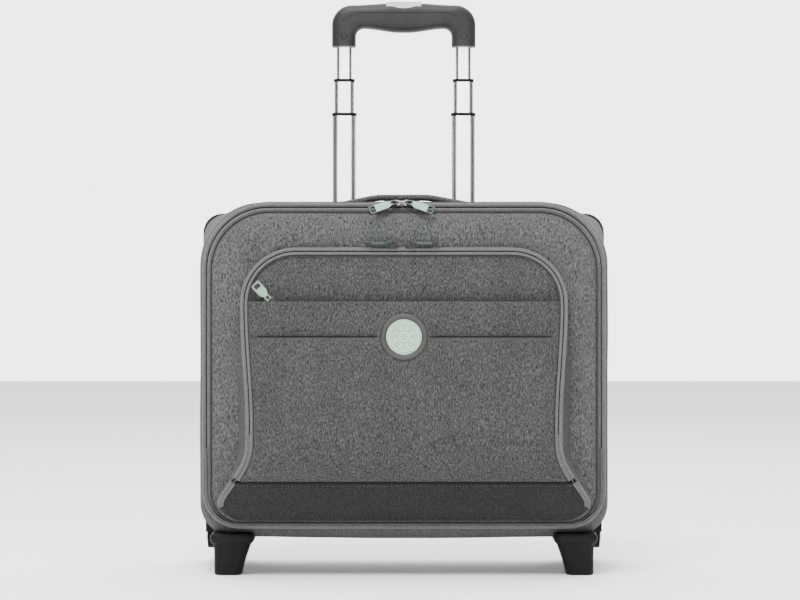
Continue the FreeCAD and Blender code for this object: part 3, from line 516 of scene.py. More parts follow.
def cut_with(piece, *tools):
    """Cuts tool pieces out of a piece and removes them."""
    for tool in tools:
        modify(piece, "BOOLEAN", operation="DIFFERENCE", object=tool, solver="EXACT")
        settle(piece)
        bpy.data.objects.remove(tool)
    return piece


def block(name, low, high, material):
    """A plain box, for the black cross of painted shade that stands for the recess in a screw head."""
    spots = [(x, y, z) for x in (low[0], high[0]) for y in (low[1], high[1]) for z in (low[2], high[2])]
    faces = [(0, 1, 3, 2), (4, 6, 7, 5), (0, 4, 5, 1), (2, 3, 7, 6), (0, 2, 6, 4), (1, 5, 7, 3)]
    return from_faces(name, spots, faces, material, smooth=False)


def drum(name, centre, turn, radius, length, sides, *material):
    """A plain cylinder, for screw heads and for cutting holes."""
    side = turn.orthogonal().normalized()
    other = turn.cross(side)
    rings = []
    for end in (-0.5, 0.5):
        rings.append(np.array([Vector(centre) + turn * (length * end) + radius * (
            side * math.cos(2 * math.pi * k / sides) + other * math.sin(2 * math.pi * k / sides))
            for k in range(sides)]))
    return loft(name, rings, *material, around=False, caps=(True, True), smooth=False)


def circle(radius, count):
    """Points (u, v) round a circle."""
    angles = 2 * math.pi * np.arange(count) / count
    return [(math.cos(angle) * radius, math.sin(angle) * radius) for angle in angles]


def ease(value):
    """A smooth step from 0 to 1."""
    value = min(1.0, max(0.0, value))
    return value * value * (3 - 2 * value)


def strip(name, rings, material, closed=True, thickness=0.0012):
    """A cloth strip over rings that run side by side."""
    return thickened(loft(name, rings, material, closed=closed, around=False), thickness)


def cord(name, ring, path, radius, material, mask=None):
    """A piped edge: a round cord along a ring that follows a path."""
    normals = inward(path)
    rings = []
    for angle in 2 * math.pi * np.arange(8) / 8:
        side = ring.copy()
        side[:, 0] -= math.cos(angle) * radius * normals[:, 0]
        side[:, 2] -= math.cos(angle) * radius * normals[:, 1]
        side[:, 1] -= math.sin(angle) * radius
        rings.append(side if mask is None else side[mask])
    return loft(name, rings, material, closed=mask is None)


def row_across(path, z, columns, depth, margin=0.0):
    """A row of points across a path at a height, at the depths (x, z) gives."""
    reach = half_width(path, z) - margin
    return [(x, depth(x, z), z) for x in (reach * (2 * j / columns - 1) for j in range(columns + 1))]


def blend_keys(keys, place):
    """Smoothly interpolated rows of numbers, keyed by their first number."""
    keys = sorted(keys)
    place = min(max(place, keys[0][0]), keys[-1][0])
    for low, high in zip(keys, keys[1:]):
        if place <= high[0]:
            t = (place - low[0]) / (high[0] - low[0])
            return [a + (b - a) * t for a, b in zip(low[1:], high[1:])]
    return keys[-1][1:]


# ---- fabric body ----

HINGE_Z = joint_of["lid_open"]["pos_m"][2]
ZIP_END = 0.137   # height at which the main zip stops on both sides
FLAP_END = 0.155  # height at which the pocket's zip stops
MOUTH_Y = gusset_low.y
REAR_Y = gusset_high.y
SAG = 0.0042      # how far the floor hangs in the middle


def body_outline(y):
    """The case's outline at a depth: soft and full in the middle, square at the back."""
    crown = gusset_high.z
    half = gusset_high.x
    keys = [(MOUTH_Y, mouth_high.x, mouth_low.z, crown, 0.040, 0.070),
            (MOUTH_Y + 0.006, half - 0.0055, gusset_low.z + 0.0075, crown + 0.0008, 0.038, 0.069),
            (MOUTH_Y + 0.018, half - 0.0035, gusset_low.z + 0.0015, crown + 0.0016, 0.036, 0.067),
            (-0.006, half - 0.0026, gusset_low.z - 0.0002, crown + 0.0018, 0.032, 0.064),
            (0.020, half - 0.0016, gusset_low.z, crown - 0.0012, 0.028, 0.054),
            (0.046, half - 0.0004, gusset_low.z, back_high.z + 0.0018, 0.020, 0.030),
            (REAR_Y, half, gusset_low.z, back_high.z, 0.014, 0.018)]
    return outline(*blend_keys(keys, y))


def case_skin():
    """The sewn gusset: top, sides and floor in one skin, with a dark lining on the inside."""
    depths = np.linspace(MOUTH_Y, REAR_Y, 30)
    rings = []
    for y in depths:
        path = body_outline(y)
        slack = math.sin(math.pi * (y - MOUTH_Y) / (REAR_Y - MOUTH_Y))
        ring = ring_at(path, 0.0, y)
        for point in ring:
            low_share = ease((0.12 - point[2]) / 0.09)
            point[2] -= SAG * slack * low_share * max(0.0, 1 - (point[0] / 0.21) ** 2)
            wave = 0.0011 * slack * ripple(point, (9, 16, 9), 3.0)
            wave += 0.0005 * slack * ripple(point, (30, 40, 24))
            point[0] += wave * (1 if point[0] > 0 else -1)
            point[2] += wave * (0.6 if point[2] > 0.2 else -0.4)
        rings.append(ring)
    skin = loft("case_gusset", rings, FABRIC, LINING, around=False)
    cup_low, cup_high = limits("grip_cup")
    edge = 0.004
    cut_window(skin, (cup_low.x + edge, cup_low.y + edge, 0.36), (cup_high.x - edge, cup_high.y - edge, 0.42))
    for left, right, low, high in wheel_rooms():
        cut_window(skin, (left, low.y, -0.01), (right, high.y, high.z))
    dress(thickened(skin, 0.0032, lined=True), "case", "melange_fabric", "main_gusset")


def wheel_rooms():
    """For each wheel housing: from where to where to cut the fabric, past its outer side, and its corners."""
    for name, past_left, past_right in (("left", 0.03, 0.0), ("right", 0.0, 0.03)):
        low, high = limits(f"wheel_housing_{name}")
        yield low.x - past_left, high.x + past_right, low, high


def pillow(name, path, rings, *materials, back=None):
    """A crowned panel: rings are (inset, y) from its edge to its middle, closed at the back if asked."""
    loops = [ring_at(path, inset, y) for inset, y in rings]
    if back is not None:
        loops = [ring_at(path, 0.004, back), ring_at(path, 0.0, back)] + loops
    return loft(name, loops, *materials, around=False, caps=(back is not None, True))


def quilted(x, columns, depth):
    """How far sewn upright channels pull a panel in."""
    return sum(depth * math.exp(-((x - column) / 0.006) ** 2) for column in columns)


def rear_panel():
    """The back: a padded fabric panel with two sewn channels, and its piping."""
    path = outline(gusset_high.x, gusset_low.z, back_high.z, 0.014, 0.018)
    channels = (-0.092, 0.092)
    rows, columns = 70, 90

    def depth(x, z):
        edge = min(half_width(path, z) - abs(x), z - back_low.z, back_high.z - z)
        puff = 0.0046 * ease(edge / 0.03) - quilted(x, channels, 0.0026) * ease(edge / 0.04)
        return REAR_Y + 0.0008 + puff + 0.0006 * ripple((x, 0, z), (14, 1, 14)) * ease(edge / 0.03)

    heights = [back_low.z + (back_high.z - back_low.z) * i / rows for i in range(rows + 1)]
    panel = loft("rear_panel", [row_across(path, z, columns, depth) for z in heights], FABRIC, LINING,
                 closed=False, around=False)
    for left, right, _, high in wheel_rooms():
        cut_window(panel, (left, REAR_Y - 0.02, -0.01), (right, REAR_Y + 0.03, high.z))
    thickened(panel, 0.002, lined=True)
    thread = join("rear_stitches", [
        stitches("rear_stitch", [(column, REAR_Y + 0.0038, 0.055 + 0.28 * k / 60) for k in range(61)])
        for column in channels])
    mask = ~((np.abs(path[:, 0]) > 0.172) & (path[:, 1] < 0.071))
    start = int(np.argmin(mask))
    path_turned, mask_turned = np.roll(path, -start, axis=0), np.roll(mask, -start)
    line = ring_at(path_turned, -0.0012, REAR_Y + 0.0022)
    piping = join("rear_cord", [cord("rear_cord", line, path_turned, 0.0021, PIPING_AND_GROOVE_SHADE, run)
                                for run in runs_of(mask_turned)])
    dress(panel, "case", "melange_fabric", "back_panel")
    dress(thread, "case", "melange_fabric")
    dress(piping, "case", "piping_fabric", "rear_piping")


def runs_of(mask):
    """The stretches of a closed path that a mask keeps, each as its own mask."""
    runs, current = [], []
    for i, kept in enumerate(mask):
        if kept:
            current.append(i)
        elif current:
            runs.append(current)
            current = []
    if current:
        runs.append(current)
    return [np.array(run) for run in runs]


def half_width(path, z):
    """Half the width of a mirrored outline at a height."""
    right = path[:len(path) // 2 + 1]
    rising = right[right[:, 0] > 0.02] if z < right[:, 1].max() - 1e-6 else right
    order = np.argsort(rising[:, 1], kind="stable")
    return float(np.interp(z, rising[order, 1], rising[order, 0]))


# ---- mouth: zip bands, lid and the folded web between them ----

mouth_path = outline(mouth_high.x, mouth_low.z, mouth_high.z, 0.040, 0.070)
lid_path = outline(lid_high.x, lid_low.z, lid_high.z, 0.032, 0.062)
CASE_BAND = 0.0042  # width of the case's half of the zip
SLIT_WIDTH = 0.0012
LID_BAND = 0.0046
BAND_Y = mouth_low.y


def mouth_bands():
    """The case's half of the zip, its dark seam and the seam cord where it meets the gusset."""
    y = BAND_Y
    steps = [(0.0012, MOUTH_Y + 0.0015), (-0.0004, MOUTH_Y - 0.001), (-0.0004, y + 0.0022),
             (0.0003, y + 0.0006), (0.0016, y - 0.0004), (CASE_BAND - 0.0008, y - 0.0003),
             (CASE_BAND, y + 0.0006), (CASE_BAND + 0.0001, y + 0.004)]
    tape = strip("case_zip_band", [ring_at(mouth_path, *step) for step in steps], BAND)
    dress(tape, "case", "band_fabric", "case_zip_tape")
    seam = cord("case_seam", ring_at(mouth_path, -0.0006, MOUTH_Y - 0.0004), mouth_path, 0.0010, PIPING_AND_GROOVE_SHADE)
    dress(seam, "case", "band_fabric")


def lid_skin():
    """The lid's padded front, its lining, its half of the zip and a dark cord of painted shade in the groove
    between the two.
    """
    front = lid_low.y
    rings = [(0.0, front + 0.0035), (0.0012, front + 0.0008), (0.004, front - 0.0009),
             (0.010, front - 0.0021), (0.022, front - 0.0026), (0.050, front - 0.0018),
             (0.056, front - 0.0010)]
    panel = pillow("lid_front", lid_path, rings, FABRIC, back=lid_high.y - 0.0008)
    displace(panel, lambda p: (0, 0.0007 * ripple(p, (11, 1, 11), 7.0) if p.y < front + 0.001 else 0, 0))
    lining = pillow("lid_lining", lid_path, [(0.006, lid_high.y - 0.0004), (0.02, lid_high.y + 0.0008),
                                             (0.05, lid_high.y + 0.0012)], LINING)
    y = BAND_Y - 0.0006
    outer = CASE_BAND + SLIT_WIDTH
    inner = outer + LID_BAND
    upper = np.nonzero(mouth_path[:, 1] > HINGE_Z + 0.004)[0]
    steps = [(outer + 0.0001, y + 0.004), (outer, y + 0.0006), (outer + 0.0008, y - 0.0005),
             (inner - 0.0008, y - 0.0007), (inner, y + 0.0002), (inner + 0.0008, y + 0.003)]
    tape = strip("lid_zip_band", [ring_at(mouth_path, *step)[upper] for step in steps], BAND, closed=False)
    # A near-black cord in the groove between the lid's zip band and its front: painted shade.
    groove = cord("lid_piping", ring_at(lid_path, -0.0001, front + 0.0012), lid_path, 0.0011, PIPING_AND_GROOVE_SHADE)
    # A near-black strip behind the slit between the two zip halves: painted shade.
    dark = strip("zip_shadow", [ring_at(mouth_path, inset, y + 0.0032)[upper]
                                for inset in (CASE_BAND - 0.001, outer + 0.001)], SLIT_SHADE, closed=False)
    dress(panel, "lid", "melange_fabric", "lid_panel")
    dress(lining, "lid", "padding")
    dress(tape, "lid", "band_fabric", "lid_zip_tape")
    dress(groove, "lid", "piping_fabric")
    dress(dark, "lid", "piping_fabric")


def lid_web():
    """The web that joins lid and case below the zip's ends, laid in shallow folds."""
    lower = np.nonzero(np.roll(mouth_path[:, 1], RING // 2) < ZIP_END)[0]
    turned = np.roll(mouth_path, RING // 2, axis=0)
    y_case, y_lid = BAND_Y + 0.0022, BAND_Y - 0.0042
    columns = 9
    rings = []
    for k in range(columns):
        share = k / (columns - 1)
        inset = CASE_BAND + SLIT_WIDTH * (0.5 + 0.35 * math.sin(share * math.pi * 4))
        rings.append(ring_at(turned, inset, y_case + (y_lid - y_case) * share)[lower])
    web = loft("lid_web", rings, BAND, closed=False, around=False)
    thickened(web, 0.0006, 0.0)
    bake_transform(web)


# ---- front pocket ----

SEAM_Z = joint_of["pocket_open"]["pos_m"][2]
SLIP_TOP = 0.2915
PLEAT_Z = 0.2545
FACE = [(0.060, -0.0745), (0.101, -0.1000), (0.150, -0.1030), (0.348, -0.0790)]  # heights and depths
POCKET_BAND = 0.0030


def face_y(z):
    """The depth of the pocket's front at a height, with its bends rounded off."""
    heights, depths = zip(*FACE)
    spread = 0.009
    return float(np.mean([np.interp(z + step * spread, heights, depths) for step in (-1, -0.5, 0, 0.5, 1)]))


def waist(z):
    """Half the pocket's width at a height: drawn in above its foot, and flared at the foot."""
    drawn_in = 0.0068 * ease((0.290 - z) / 0.133)
    flare = 0.0325 * ease((0.150 - z) / 0.078) ** 1.6
    return 0.1725 - drawn_in + flare


def pocket_outline():
    straight = outline(0.1725, 0.0590, POCKET_TOP, 0.026, 0.058)
    scale = np.array([waist(z) / 0.1725 for z in straight[:, 1]])
    return np.stack([straight[:, 0] * scale, straight[:, 1]], axis=1)


POCKET_TOP = flap_tape_high.z + 0.0006
pocket_path = pocket_outline()
upper_pocket = np.nonzero(pocket_path[:, 1] > SEAM_Z + 0.0015)[0]


def face_ring(path, inset, lift, mask=None):
    """A ring along a path, lying on the pocket's front."""
    ring = ring_at(path, inset, 0.0)
    ring[:, 1] = [face_y(z) + lift for z in ring[:, 2]]
    return ring if mask is None else ring[mask]


def edge_distance(path, x, z):
    return float(np.sqrt(((path - np.array((x, z))) ** 2).sum(axis=1)).min())


def face_sheet(name, path, low, high, rows, columns, depth, *materials):
    """A cloth panel inside a path, between two heights; depth(x, z, distance to the path) shapes it."""
    def shaped(x, z):
        return depth(x, z, edge_distance(path, x, z))

    shares = [i / rows if i / rows < 0.5 else 0.5 + 0.5 * math.sin((i / rows - 0.5) * math.pi)
              for i in range(rows + 1)]
    return loft(name, [row_across(path, low + (high - low) * share, columns, shaped) for share in shares],
                *materials, closed=False, around=False)


def pocket_body():
    """The pocket's side wall all round, and its slanted foot."""
    base = lid_low.y - 0.0012
    rings = []
    for share in np.linspace(0, 1, 9):
        ring = ring_at(pocket_path, 0.0, 0.0)
        normals = inward(pocket_path)
        for point, normal in zip(ring, normals):
            z = point[2]
            spread = 0.0105 * ease((0.300 - z) / 0.13) * ease((z - 0.085) / 0.05)
            out = spread * (1 - share) ** 1.4 + 0.0012 * math.sin(math.pi * share) * ease((z - 0.07) / 0.03)
            point[0] -= normal[0] * out
            point[1] = base + (face_y(z) + 0.0010 - base) * share
            point[2] -= normal[1] * out
        rings.append(ring)
    # The pocket wall wears the darker melange copy: painted shade.
    wall = thickened(loft("pocket_wall", rings, POCKET_SHADE_FABRIC, LINING, around=False), 0.0014, lined=True)
    seam = loft("pocket_base_seam", [rings[0] + shift for shift in cord_offsets(0.0007)], PIPING_AND_GROOVE_SHADE)

    def foot_depth(x, z, gap):
        puff = 0.0022 * ease(gap / 0.02) + 0.0006 * ripple((x, 0, z), (16, 1, 30), 4.0)
        return face_y(z) + 0.0004 - puff * ease((SEAM_Z - z) / 0.006)

    # The pocket's foot wears the darkest melange copy: painted shade.
    foot = face_sheet("pocket_foot", pocket_path, pocket_path[:, 1].min() + 0.0004, SEAM_Z - 0.0008, 26, 90,
                      foot_depth, SKIRT_SHADE_FABRIC, LINING)
    thickened(foot, 0.0014, lined=True)
    stitch_z = SEAM_Z - 0.0036
    line = [(x, face_y(stitch_z) - 0.0012, stitch_z) for x in np.linspace(-0.176, 0.176, 160)]
    thread = stitches("foot_stitch", line)
    dress(wall, "lid", "melange_fabric", "pocket_gusset")
    dress(seam, "lid", "piping_fabric")
    dress(foot, "lid", "melange_fabric", "pocket_skirt")
    dress(thread, "lid", "melange_fabric")


def cord_offsets(radius):
    """Offsets of a thin cord's sides, for a ring that faces mostly forwards."""
    return [np.array((math.cos(angle) * radius, -math.sin(angle) * radius, 0.0))
            for angle in 2 * math.pi * np.arange(8) / 8]


def pocket_bands():
    """Both halves of the pocket's zip, the dark line of painted shade between them, and the web below the
    zip's ends.
    """
    outer = [(-0.0006, 0.0022), (-0.0004, 0.0002), (0.0004, -0.0006), (POCKET_BAND - 0.0006, -0.0006),
             (POCKET_BAND, 0.0001), (POCKET_BAND + 0.0001, 0.0026)]
    inner_edge = POCKET_BAND + SLIT_WIDTH
    inner = [(inner_edge, 0.0026), (inner_edge, 0.0), (inner_edge + 0.0006, -0.0008),
             (inner_edge + POCKET_BAND - 0.0006, -0.0008), (inner_edge + POCKET_BAND, 0.0),
             (inner_edge + POCKET_BAND + 0.0006, 0.0022)]
    shadow = [(POCKET_BAND - 0.0008, 0.0021), (inner_edge + 0.0008, 0.0021)]
    for name, steps, material, body, slot, nodes in (
            ("pocket_zip_outer", outer, BAND, "lid", "band_fabric", ["pocket_zip_tape"]),
            ("pocket_zip_inner", inner, BAND, "pocket_flap", "band_fabric", ["flap_zip_tape"]),
            ("pocket_zip_shadow", shadow, SLIT_SHADE, "lid", "piping_fabric", [])):
        rings = [face_ring(pocket_path, inset, lift, upper_pocket) for inset, lift in steps]
        dress(strip(name, rings, material, closed=False, thickness=0.0010), body, slot, *nodes)
    # A near-black cord in the groove between the inner zip band and the flap front: painted shade.
    edge = face_ring(pocket_path, inner_edge + POCKET_BAND + 0.0006, 0.0004)
    piping = cord("flap_piping", edge, pocket_path, 0.0009, PIPING_AND_GROOVE_SHADE, upper_pocket)
    dress(piping, "pocket_flap", "piping_fabric")
    lower = np.nonzero(np.roll(pocket_path[:, 1], RING // 2) < SEAM_Z + 0.003)[0]
    turned = np.roll(pocket_path, RING // 2, axis=0)
    sides = runs_of(np.isin(np.arange(RING), lower) & (turned[:, 1] > pocket_path[:, 1].min() + 0.012))
    cords = [cord("foot_piping", face_ring(turned, inset, lift), turned, 0.0016, BAND, run)
             for run in sides for inset, lift in ((0.0012, -0.0002), (0.0042, -0.0008))]
    dress(join("foot_piping", cords), "lid", "band_fabric")
    for side in (-1, 1):
        across, height = pocket_path.T
        run = np.nonzero((height > SEAM_Z + 0.001) & (height < FLAP_END) & (across * side > 0))[0]
        rings = [face_ring(pocket_path, POCKET_BAND + SLIT_WIDTH * share,
                           0.0006 + 0.0006 * math.sin(6 * share), run) for share in np.linspace(0, 1, 5)]
        web = loft("pocket_web_" + ("left" if side < 0 else "right"), rings, BAND, closed=False, around=False)
        thickened(web, 0.0005, 0.0)
        middle = half_width(pocket_path, 0.13) * side
        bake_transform(web)


INNER = 2 * POCKET_BAND + SLIT_WIDTH + 0.0006
face_path = ring_at(pocket_path, INNER, 0.0)[:, [0, 2]]


def flap_panel():
    """The pocket's folding front."""
    def depth(x, z, gap):
        above = ease((z - SLIP_TOP + 0.02) / 0.03)
        crown = 0.0024 * ease(gap / 0.03) + 0.0007 * ripple((x, 0, z), (13, 1, 20), 9.0)
        slider_room = 0.0022 * math.exp(-((z - SLIP_TOP) / 0.010) ** 2)
        return face_y(z) + 0.0012 - above * crown + slider_room

    top = face_path[:, 1].max() - 0.0003
    # The flap front wears the darker melange copy: painted shade.
    panel = face_sheet("flap_front", face_path, SEAM_Z + 0.0006, top, 60, 90, depth, POCKET_SHADE_FABRIC, LINING)
    dress(thickened(panel, 0.0018, lined=True), "pocket_flap", "melange_fabric", "pocket_front_panel")
    half = half_width(face_path, SEAM_Z + 0.002)
    line = np.linspace(-half, half, 60)
    rows = [[(x, face_y(SEAM_Z + rise) + lift, SEAM_Z + rise) for x in line]
            for rise, lift in ((-0.0016, 0.0016), (0.0, 0.0022), (0.0016, 0.0016))]
    web = thickened(loft("flap_fold", rows, PIPING_AND_GROOVE_SHADE, closed=False, around=False), 0.0005, 0.0)
    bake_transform(web)


def slip_pocket():
    """The slip pocket across the front: a hemmed top edge, a sewn pleat and a slack lower field."""
    stand_off, columns, margin = 0.0066, 130, 0.0004
    mouth_left = -half_width(face_path, SLIP_TOP)

    def pleat(x, z):
        along = ease((abs(x) - 0.026) / 0.006) * ease((0.158 - abs(x)) / 0.008)
        above = z - PLEAT_Z
        dip = math.exp(-above / 0.010) if above > 0 else math.exp(above / 0.0012)
        crease = math.exp(-(above / 0.0006) ** 2)
        return along * (0.0050 * dip + 0.0030 * crease)

    def depth(x, z):
        side = half_width(face_path, z) - abs(x)
        out = stand_off * ease(side / 0.020) * ease((z - SEAM_Z + 0.004) / 0.030)
        slack = 0.0014 * ripple((x, 0, z), (9, 1, 11), 2.0) + 0.0008 * ripple((x, 0, z), (26, 1, 14), 6.0)
        flattened = math.exp(-((x - mouth_left - 0.018) / 0.022) ** 2 - ((z - SLIP_TOP) / 0.030) ** 2)
        slack *= ease(side / 0.03) * (1 - flattened)
        return face_y(z) - 0.0010 - out * (1 - 0.34 * flattened) - slack + pleat(x, z)

    near_pleat = PLEAT_Z + 0.0003 * np.arange(-5, 6)
    heights = sorted([*np.linspace(SEAM_Z + 0.0012, SLIP_TOP, 111), *near_pleat])
    rows = [row_across(face_path, z, columns, depth, margin) for z in heights]
    edge = rows[-1]
    for turn_in, rise in ((0.0010, 0.0006), (0.0020, -0.0006), (0.0024, -0.0020), (0.0022, -0.0180)):
        rows.append([(x, y + turn_in, z + rise) for x, y, z in edge])
    # The slip pocket wears the darker melange copy: painted shade.
    panel = loft("slip_pocket", rows, POCKET_SHADE_FABRIC, LINING, closed=False, around=False)
    dress(thickened(panel, 0.0007, lined=True), "pocket_flap", "melange_fabric", "slip_pocket_panel")
    stitch_z = PLEAT_Z - 0.0022
    thread = join("pleat_stitches", [
        stitches("pleat_stitch", [(side * x, depth(side * x, stitch_z) - 0.0001, stitch_z)
                                  for x in np.linspace(0.029, 0.155, 60)]) for side in (-1, 1)])
    dress(thread, "pocket_flap", "melange_fabric")
    # A near-black patch at the slip pocket's left corner, behind its top edge: painted shadow in the gap.
    corner_x = mouth_left + 0.0052
    gap_y = face_y(SLIP_TOP + 0.004) - 0.0006
    corners = [(mouth_left + 0.0002, gap_y, SLIP_TOP - 0.004), (corner_x + 0.006, gap_y, SLIP_TOP - 0.004),
               (corner_x + 0.003, gap_y, SLIP_TOP + 0.0024),
               (mouth_left + 0.0016, gap_y + 0.0004, SLIP_TOP + 0.0086)]
    gap = from_faces("slip_gap", corners, [(0, 1, 2, 3)], SLIT_SHADE)
    dress(thickened(gap, 0.0005, 1.0), "pocket_flap", "piping_fabric")


# ---- badge ----

def turned_profile(name, rows, centre, lean, *materials, sides=96):
    """A turned shape: rows are (radius, height towards the viewer), turned about the badge's leaning axis."""
    rings = []
    for radius, height in rows:
        ring = np.zeros((sides, 3))
        for k in range(sides):
            angle = 2 * math.pi * k / sides
            spot = Vector((math.cos(angle) * radius, -height, math.sin(angle) * radius))
            spot.rotate(Matrix.Rotation(lean, 3, "X"))
            ring[k] = spot + centre
        rings.append(ring)
    return loft(name, rings, *materials, around=False, caps=(True, True))


def badge():
    """A round rubber badge with a mint disc and a plain geometric relief."""
    middle = (disc_low + disc_high) / 2
    lean = -math.radians(6.9)
    seat = Vector((middle.x, face_y(middle.z) - 0.0076, middle.z))
    outer = (ring_high.x - ring_low.x) / 2
    inner = (disc_high.x - disc_low.x) / 2
    rim = [(outer, -0.001), (outer, 0.0010), (outer - 0.0004, 0.0020), (outer - 0.0012, 0.0025),
           (outer - 0.0026, 0.0026), (inner + 0.0012, 0.0024), (inner + 0.0003, 0.0018), (inner, 0.0008),
           (0.002, 0.0007)]
    disc = [(inner - 0.0002, 0.0004), (inner - 0.0002, 0.0014), (inner - 0.0008, 0.0018),
            (inner - 0.0014, 0.0016), (0.001, 0.0016)]
    ring = turned_profile("badge_surround", rim, seat, lean, RING_RUBBER)
    face = turned_profile("badge_face", disc, seat, lean, MINT)
    relief = []
    for radius, width in ((0.0152, 0.0007), (0.0048, 0.0009)):
        relief.append(flat_ribbon(circle(radius, 72), width, seat, lean, 0.0016, 0.0024, True))
    for turn in range(8):
        angle = math.pi * turn / 4 + math.pi / 8
        ray = [(math.cos(angle) * r, math.sin(angle) * r) for r in (0.0072, 0.0090, 0.0108, 0.0126)]
        relief.append(flat_ribbon(ray, 0.0010, seat, lean, 0.0016, 0.0024, False))
    dress(ring, "pocket_flap", "badge_rubber", "badge_ring")
    dress(face, "pocket_flap", "badge_mint", "badge_disc")
    dress(join("badge_relief", relief), "pocket_flap", "badge_mint")


def flat_ribbon(line, width, seat, lean, low, high, closed):
    """A raised flat line on the badge; line is a list of (across, up)."""
    count = len(line)
    rings = [[], [], [], []]
    for k, (across, up) in enumerate(line):
        before = line[k - 1] if closed or k else line[0]
        after = line[(k + 1) % count] if closed or k < count - 1 else line[-1]
        run = Vector((after[0] - before[0], after[1] - before[1])).normalized()
        side = Vector((-run.y, run.x)) * width / 2
        for ring, sign, height in zip(rings, (-1, -1, 1, 1), (low, high, high, low)):
            spot = Vector((across + side.x * sign, -height, up + side.y * sign))
            spot.rotate(Matrix.Rotation(lean, 3, "X"))
            ring.append(spot + seat)
    return loft("relief", [np.array(ring) for ring in rings], MINT_RELIEF, closed=closed, smooth=False)


# ---- hard parts carried over from the frame ----

def softened(node, name, body, slot, material, width, segments=3):
    """The frame's own shape with its edges rounded over, as a moulded or machined part has them."""
    mesh = frame["nodes"][node].data.copy()
    piece = bpy.data.objects.new(name, mesh)
    bpy.context.scene.collection.objects.link(piece)
    bm = bmesh.new()
    bm.from_mesh(mesh)
    bmesh.ops.remove_doubles(bm, verts=bm.verts, dist=2e-6)
    bmesh.ops.dissolve_limit(bm, angle_limit=math.radians(2), verts=bm.verts, edges=bm.edges)
    bmesh.ops.recalc_face_normals(bm, faces=bm.faces)
    bm.to_mesh(mesh)
    bm.free()
    mesh.materials.clear()
    mesh.materials.append(material)
    mesh.polygons.foreach_set("material_index", [0] * len(mesh.polygons))
    modify(piece, "BEVEL", width=width, segments=segments, limit_method="ANGLE", angle_limit=math.radians(32),
           use_clamp_overlap=True)
    settle(piece)
    return dress(smooth_by_angle(piece, 38), body, slot, node)


def repaint(material, *nodes):
    """A procedural material for frame nodes whose shape is already right."""
    for node in nodes:
        for slot in frame["nodes"][node].material_slots:
            slot.material = material


def plate(name, loops, thickness, material, edge=0.0002):
    """A flat plate with holes; loops are closed outlines (u, v), the first outside, drawn in the XY plane."""
    curve = bpy.data.curves.new(name, "CURVE")
    curve.dimensions = "2D"
    curve.fill_mode = "BOTH"
    for loop in loops:
        spline = curve.splines.new("POLY")
        spline.points.add(len(loop) - 1)
        for spot, (u, v) in zip(spline.points, loop):
            spot.co = (u, v, 0.0, 1.0)
        spline.use_cyclic_u = True
    curve.extrude = thickness / 2 - edge
    curve.bevel_depth = edge
    curve.offset = -edge
    curve.bevel_resolution = 2
    holder = bpy.data.objects.new(name, curve)
    mesh = bpy.data.meshes.new_from_object(holder)
    bpy.data.objects.remove(holder)
    return smooth_by_angle(link(name, mesh, material), 40)


def rounded(corners, steps=6):
    """A closed outline through corners (u, v, round)."""
    count = len(corners)
    path = []
    for i, (u, v, radius) in enumerate(corners):
        piece = smooth_path([corners[i - 1], (u, v, radius), corners[(i + 1) % count]], steps)
        path += [tuple(spot) for spot in piece[1:-1]]
    return path


def moved(piece, matrix):
    piece.data.transform(matrix)
    piece.data.update()
    return piece


# ---- zip sliders and pulls ----

PULL_WIDE, PULL_ROOT, PULL_THICK = 0.0104, 0.0058, 0.0014
MAIN_TILT, MAIN_DROOP = math.radians(60), math.radians(22)
SLIP_TILT, SLIP_DROOP = math.radians(83.1), math.radians(-47)


def pull_frame(eye, tilt, side, droop):
    turn = -droop if side > 0 else math.pi + droop
    return Matrix.Translation(eye) @ Matrix.Rotation(tilt, 4, "X") @ Matrix.Rotation(turn, 4, "Z")


def zip_pull(name, length, matrix, finish):
    """A cast pull: a metal frame round a mint insert, with a window near its tip."""
    wide, root, shoulder = PULL_WIDE / 2, PULL_ROOT / 2, 0.0090
    right = [(-0.0007, -root, 0.0006), (0.0055, -root, 0.003), (shoulder, -wide, 0.003),
             (length, -wide, 0.0022)]
    outer = rounded(right + [(u, -v, r) for u, v, r in reversed(right)])
    eye = rounded([(0.0008, -0.0016, 0.0006), (0.0042, -0.0016, 0.0006), (0.0042, 0.0016, 0.0006),
                   (0.0008, 0.0016, 0.0006)])
    far, near, half = length - 0.0018, length - 0.0066, wide - 0.0020
    window = rounded([(near, -half, 0.0008), (far, -half, 0.0012), (far, half, 0.0012), (near, half, 0.0008)])
    metal = plate(name, [outer, eye, window], PULL_THICK, finish, 0.00022)
    inset = 0.0009
    mint_right = [(0.0052, -root + inset * 0.6, 0.001), (shoulder + 0.0010, -wide + inset, 0.002),
                  (near - 0.0007, -wide + inset, 0.0007)]
    mint = plate(f"{name}_insert", [rounded(mint_right + [(u, -v, r) for u, v, r in reversed(mint_right)])],
                 PULL_THICK + 0.0004, INSERT, 0.00015)
    pull = join(name, [metal, mint])
    return moved(pull, matrix)


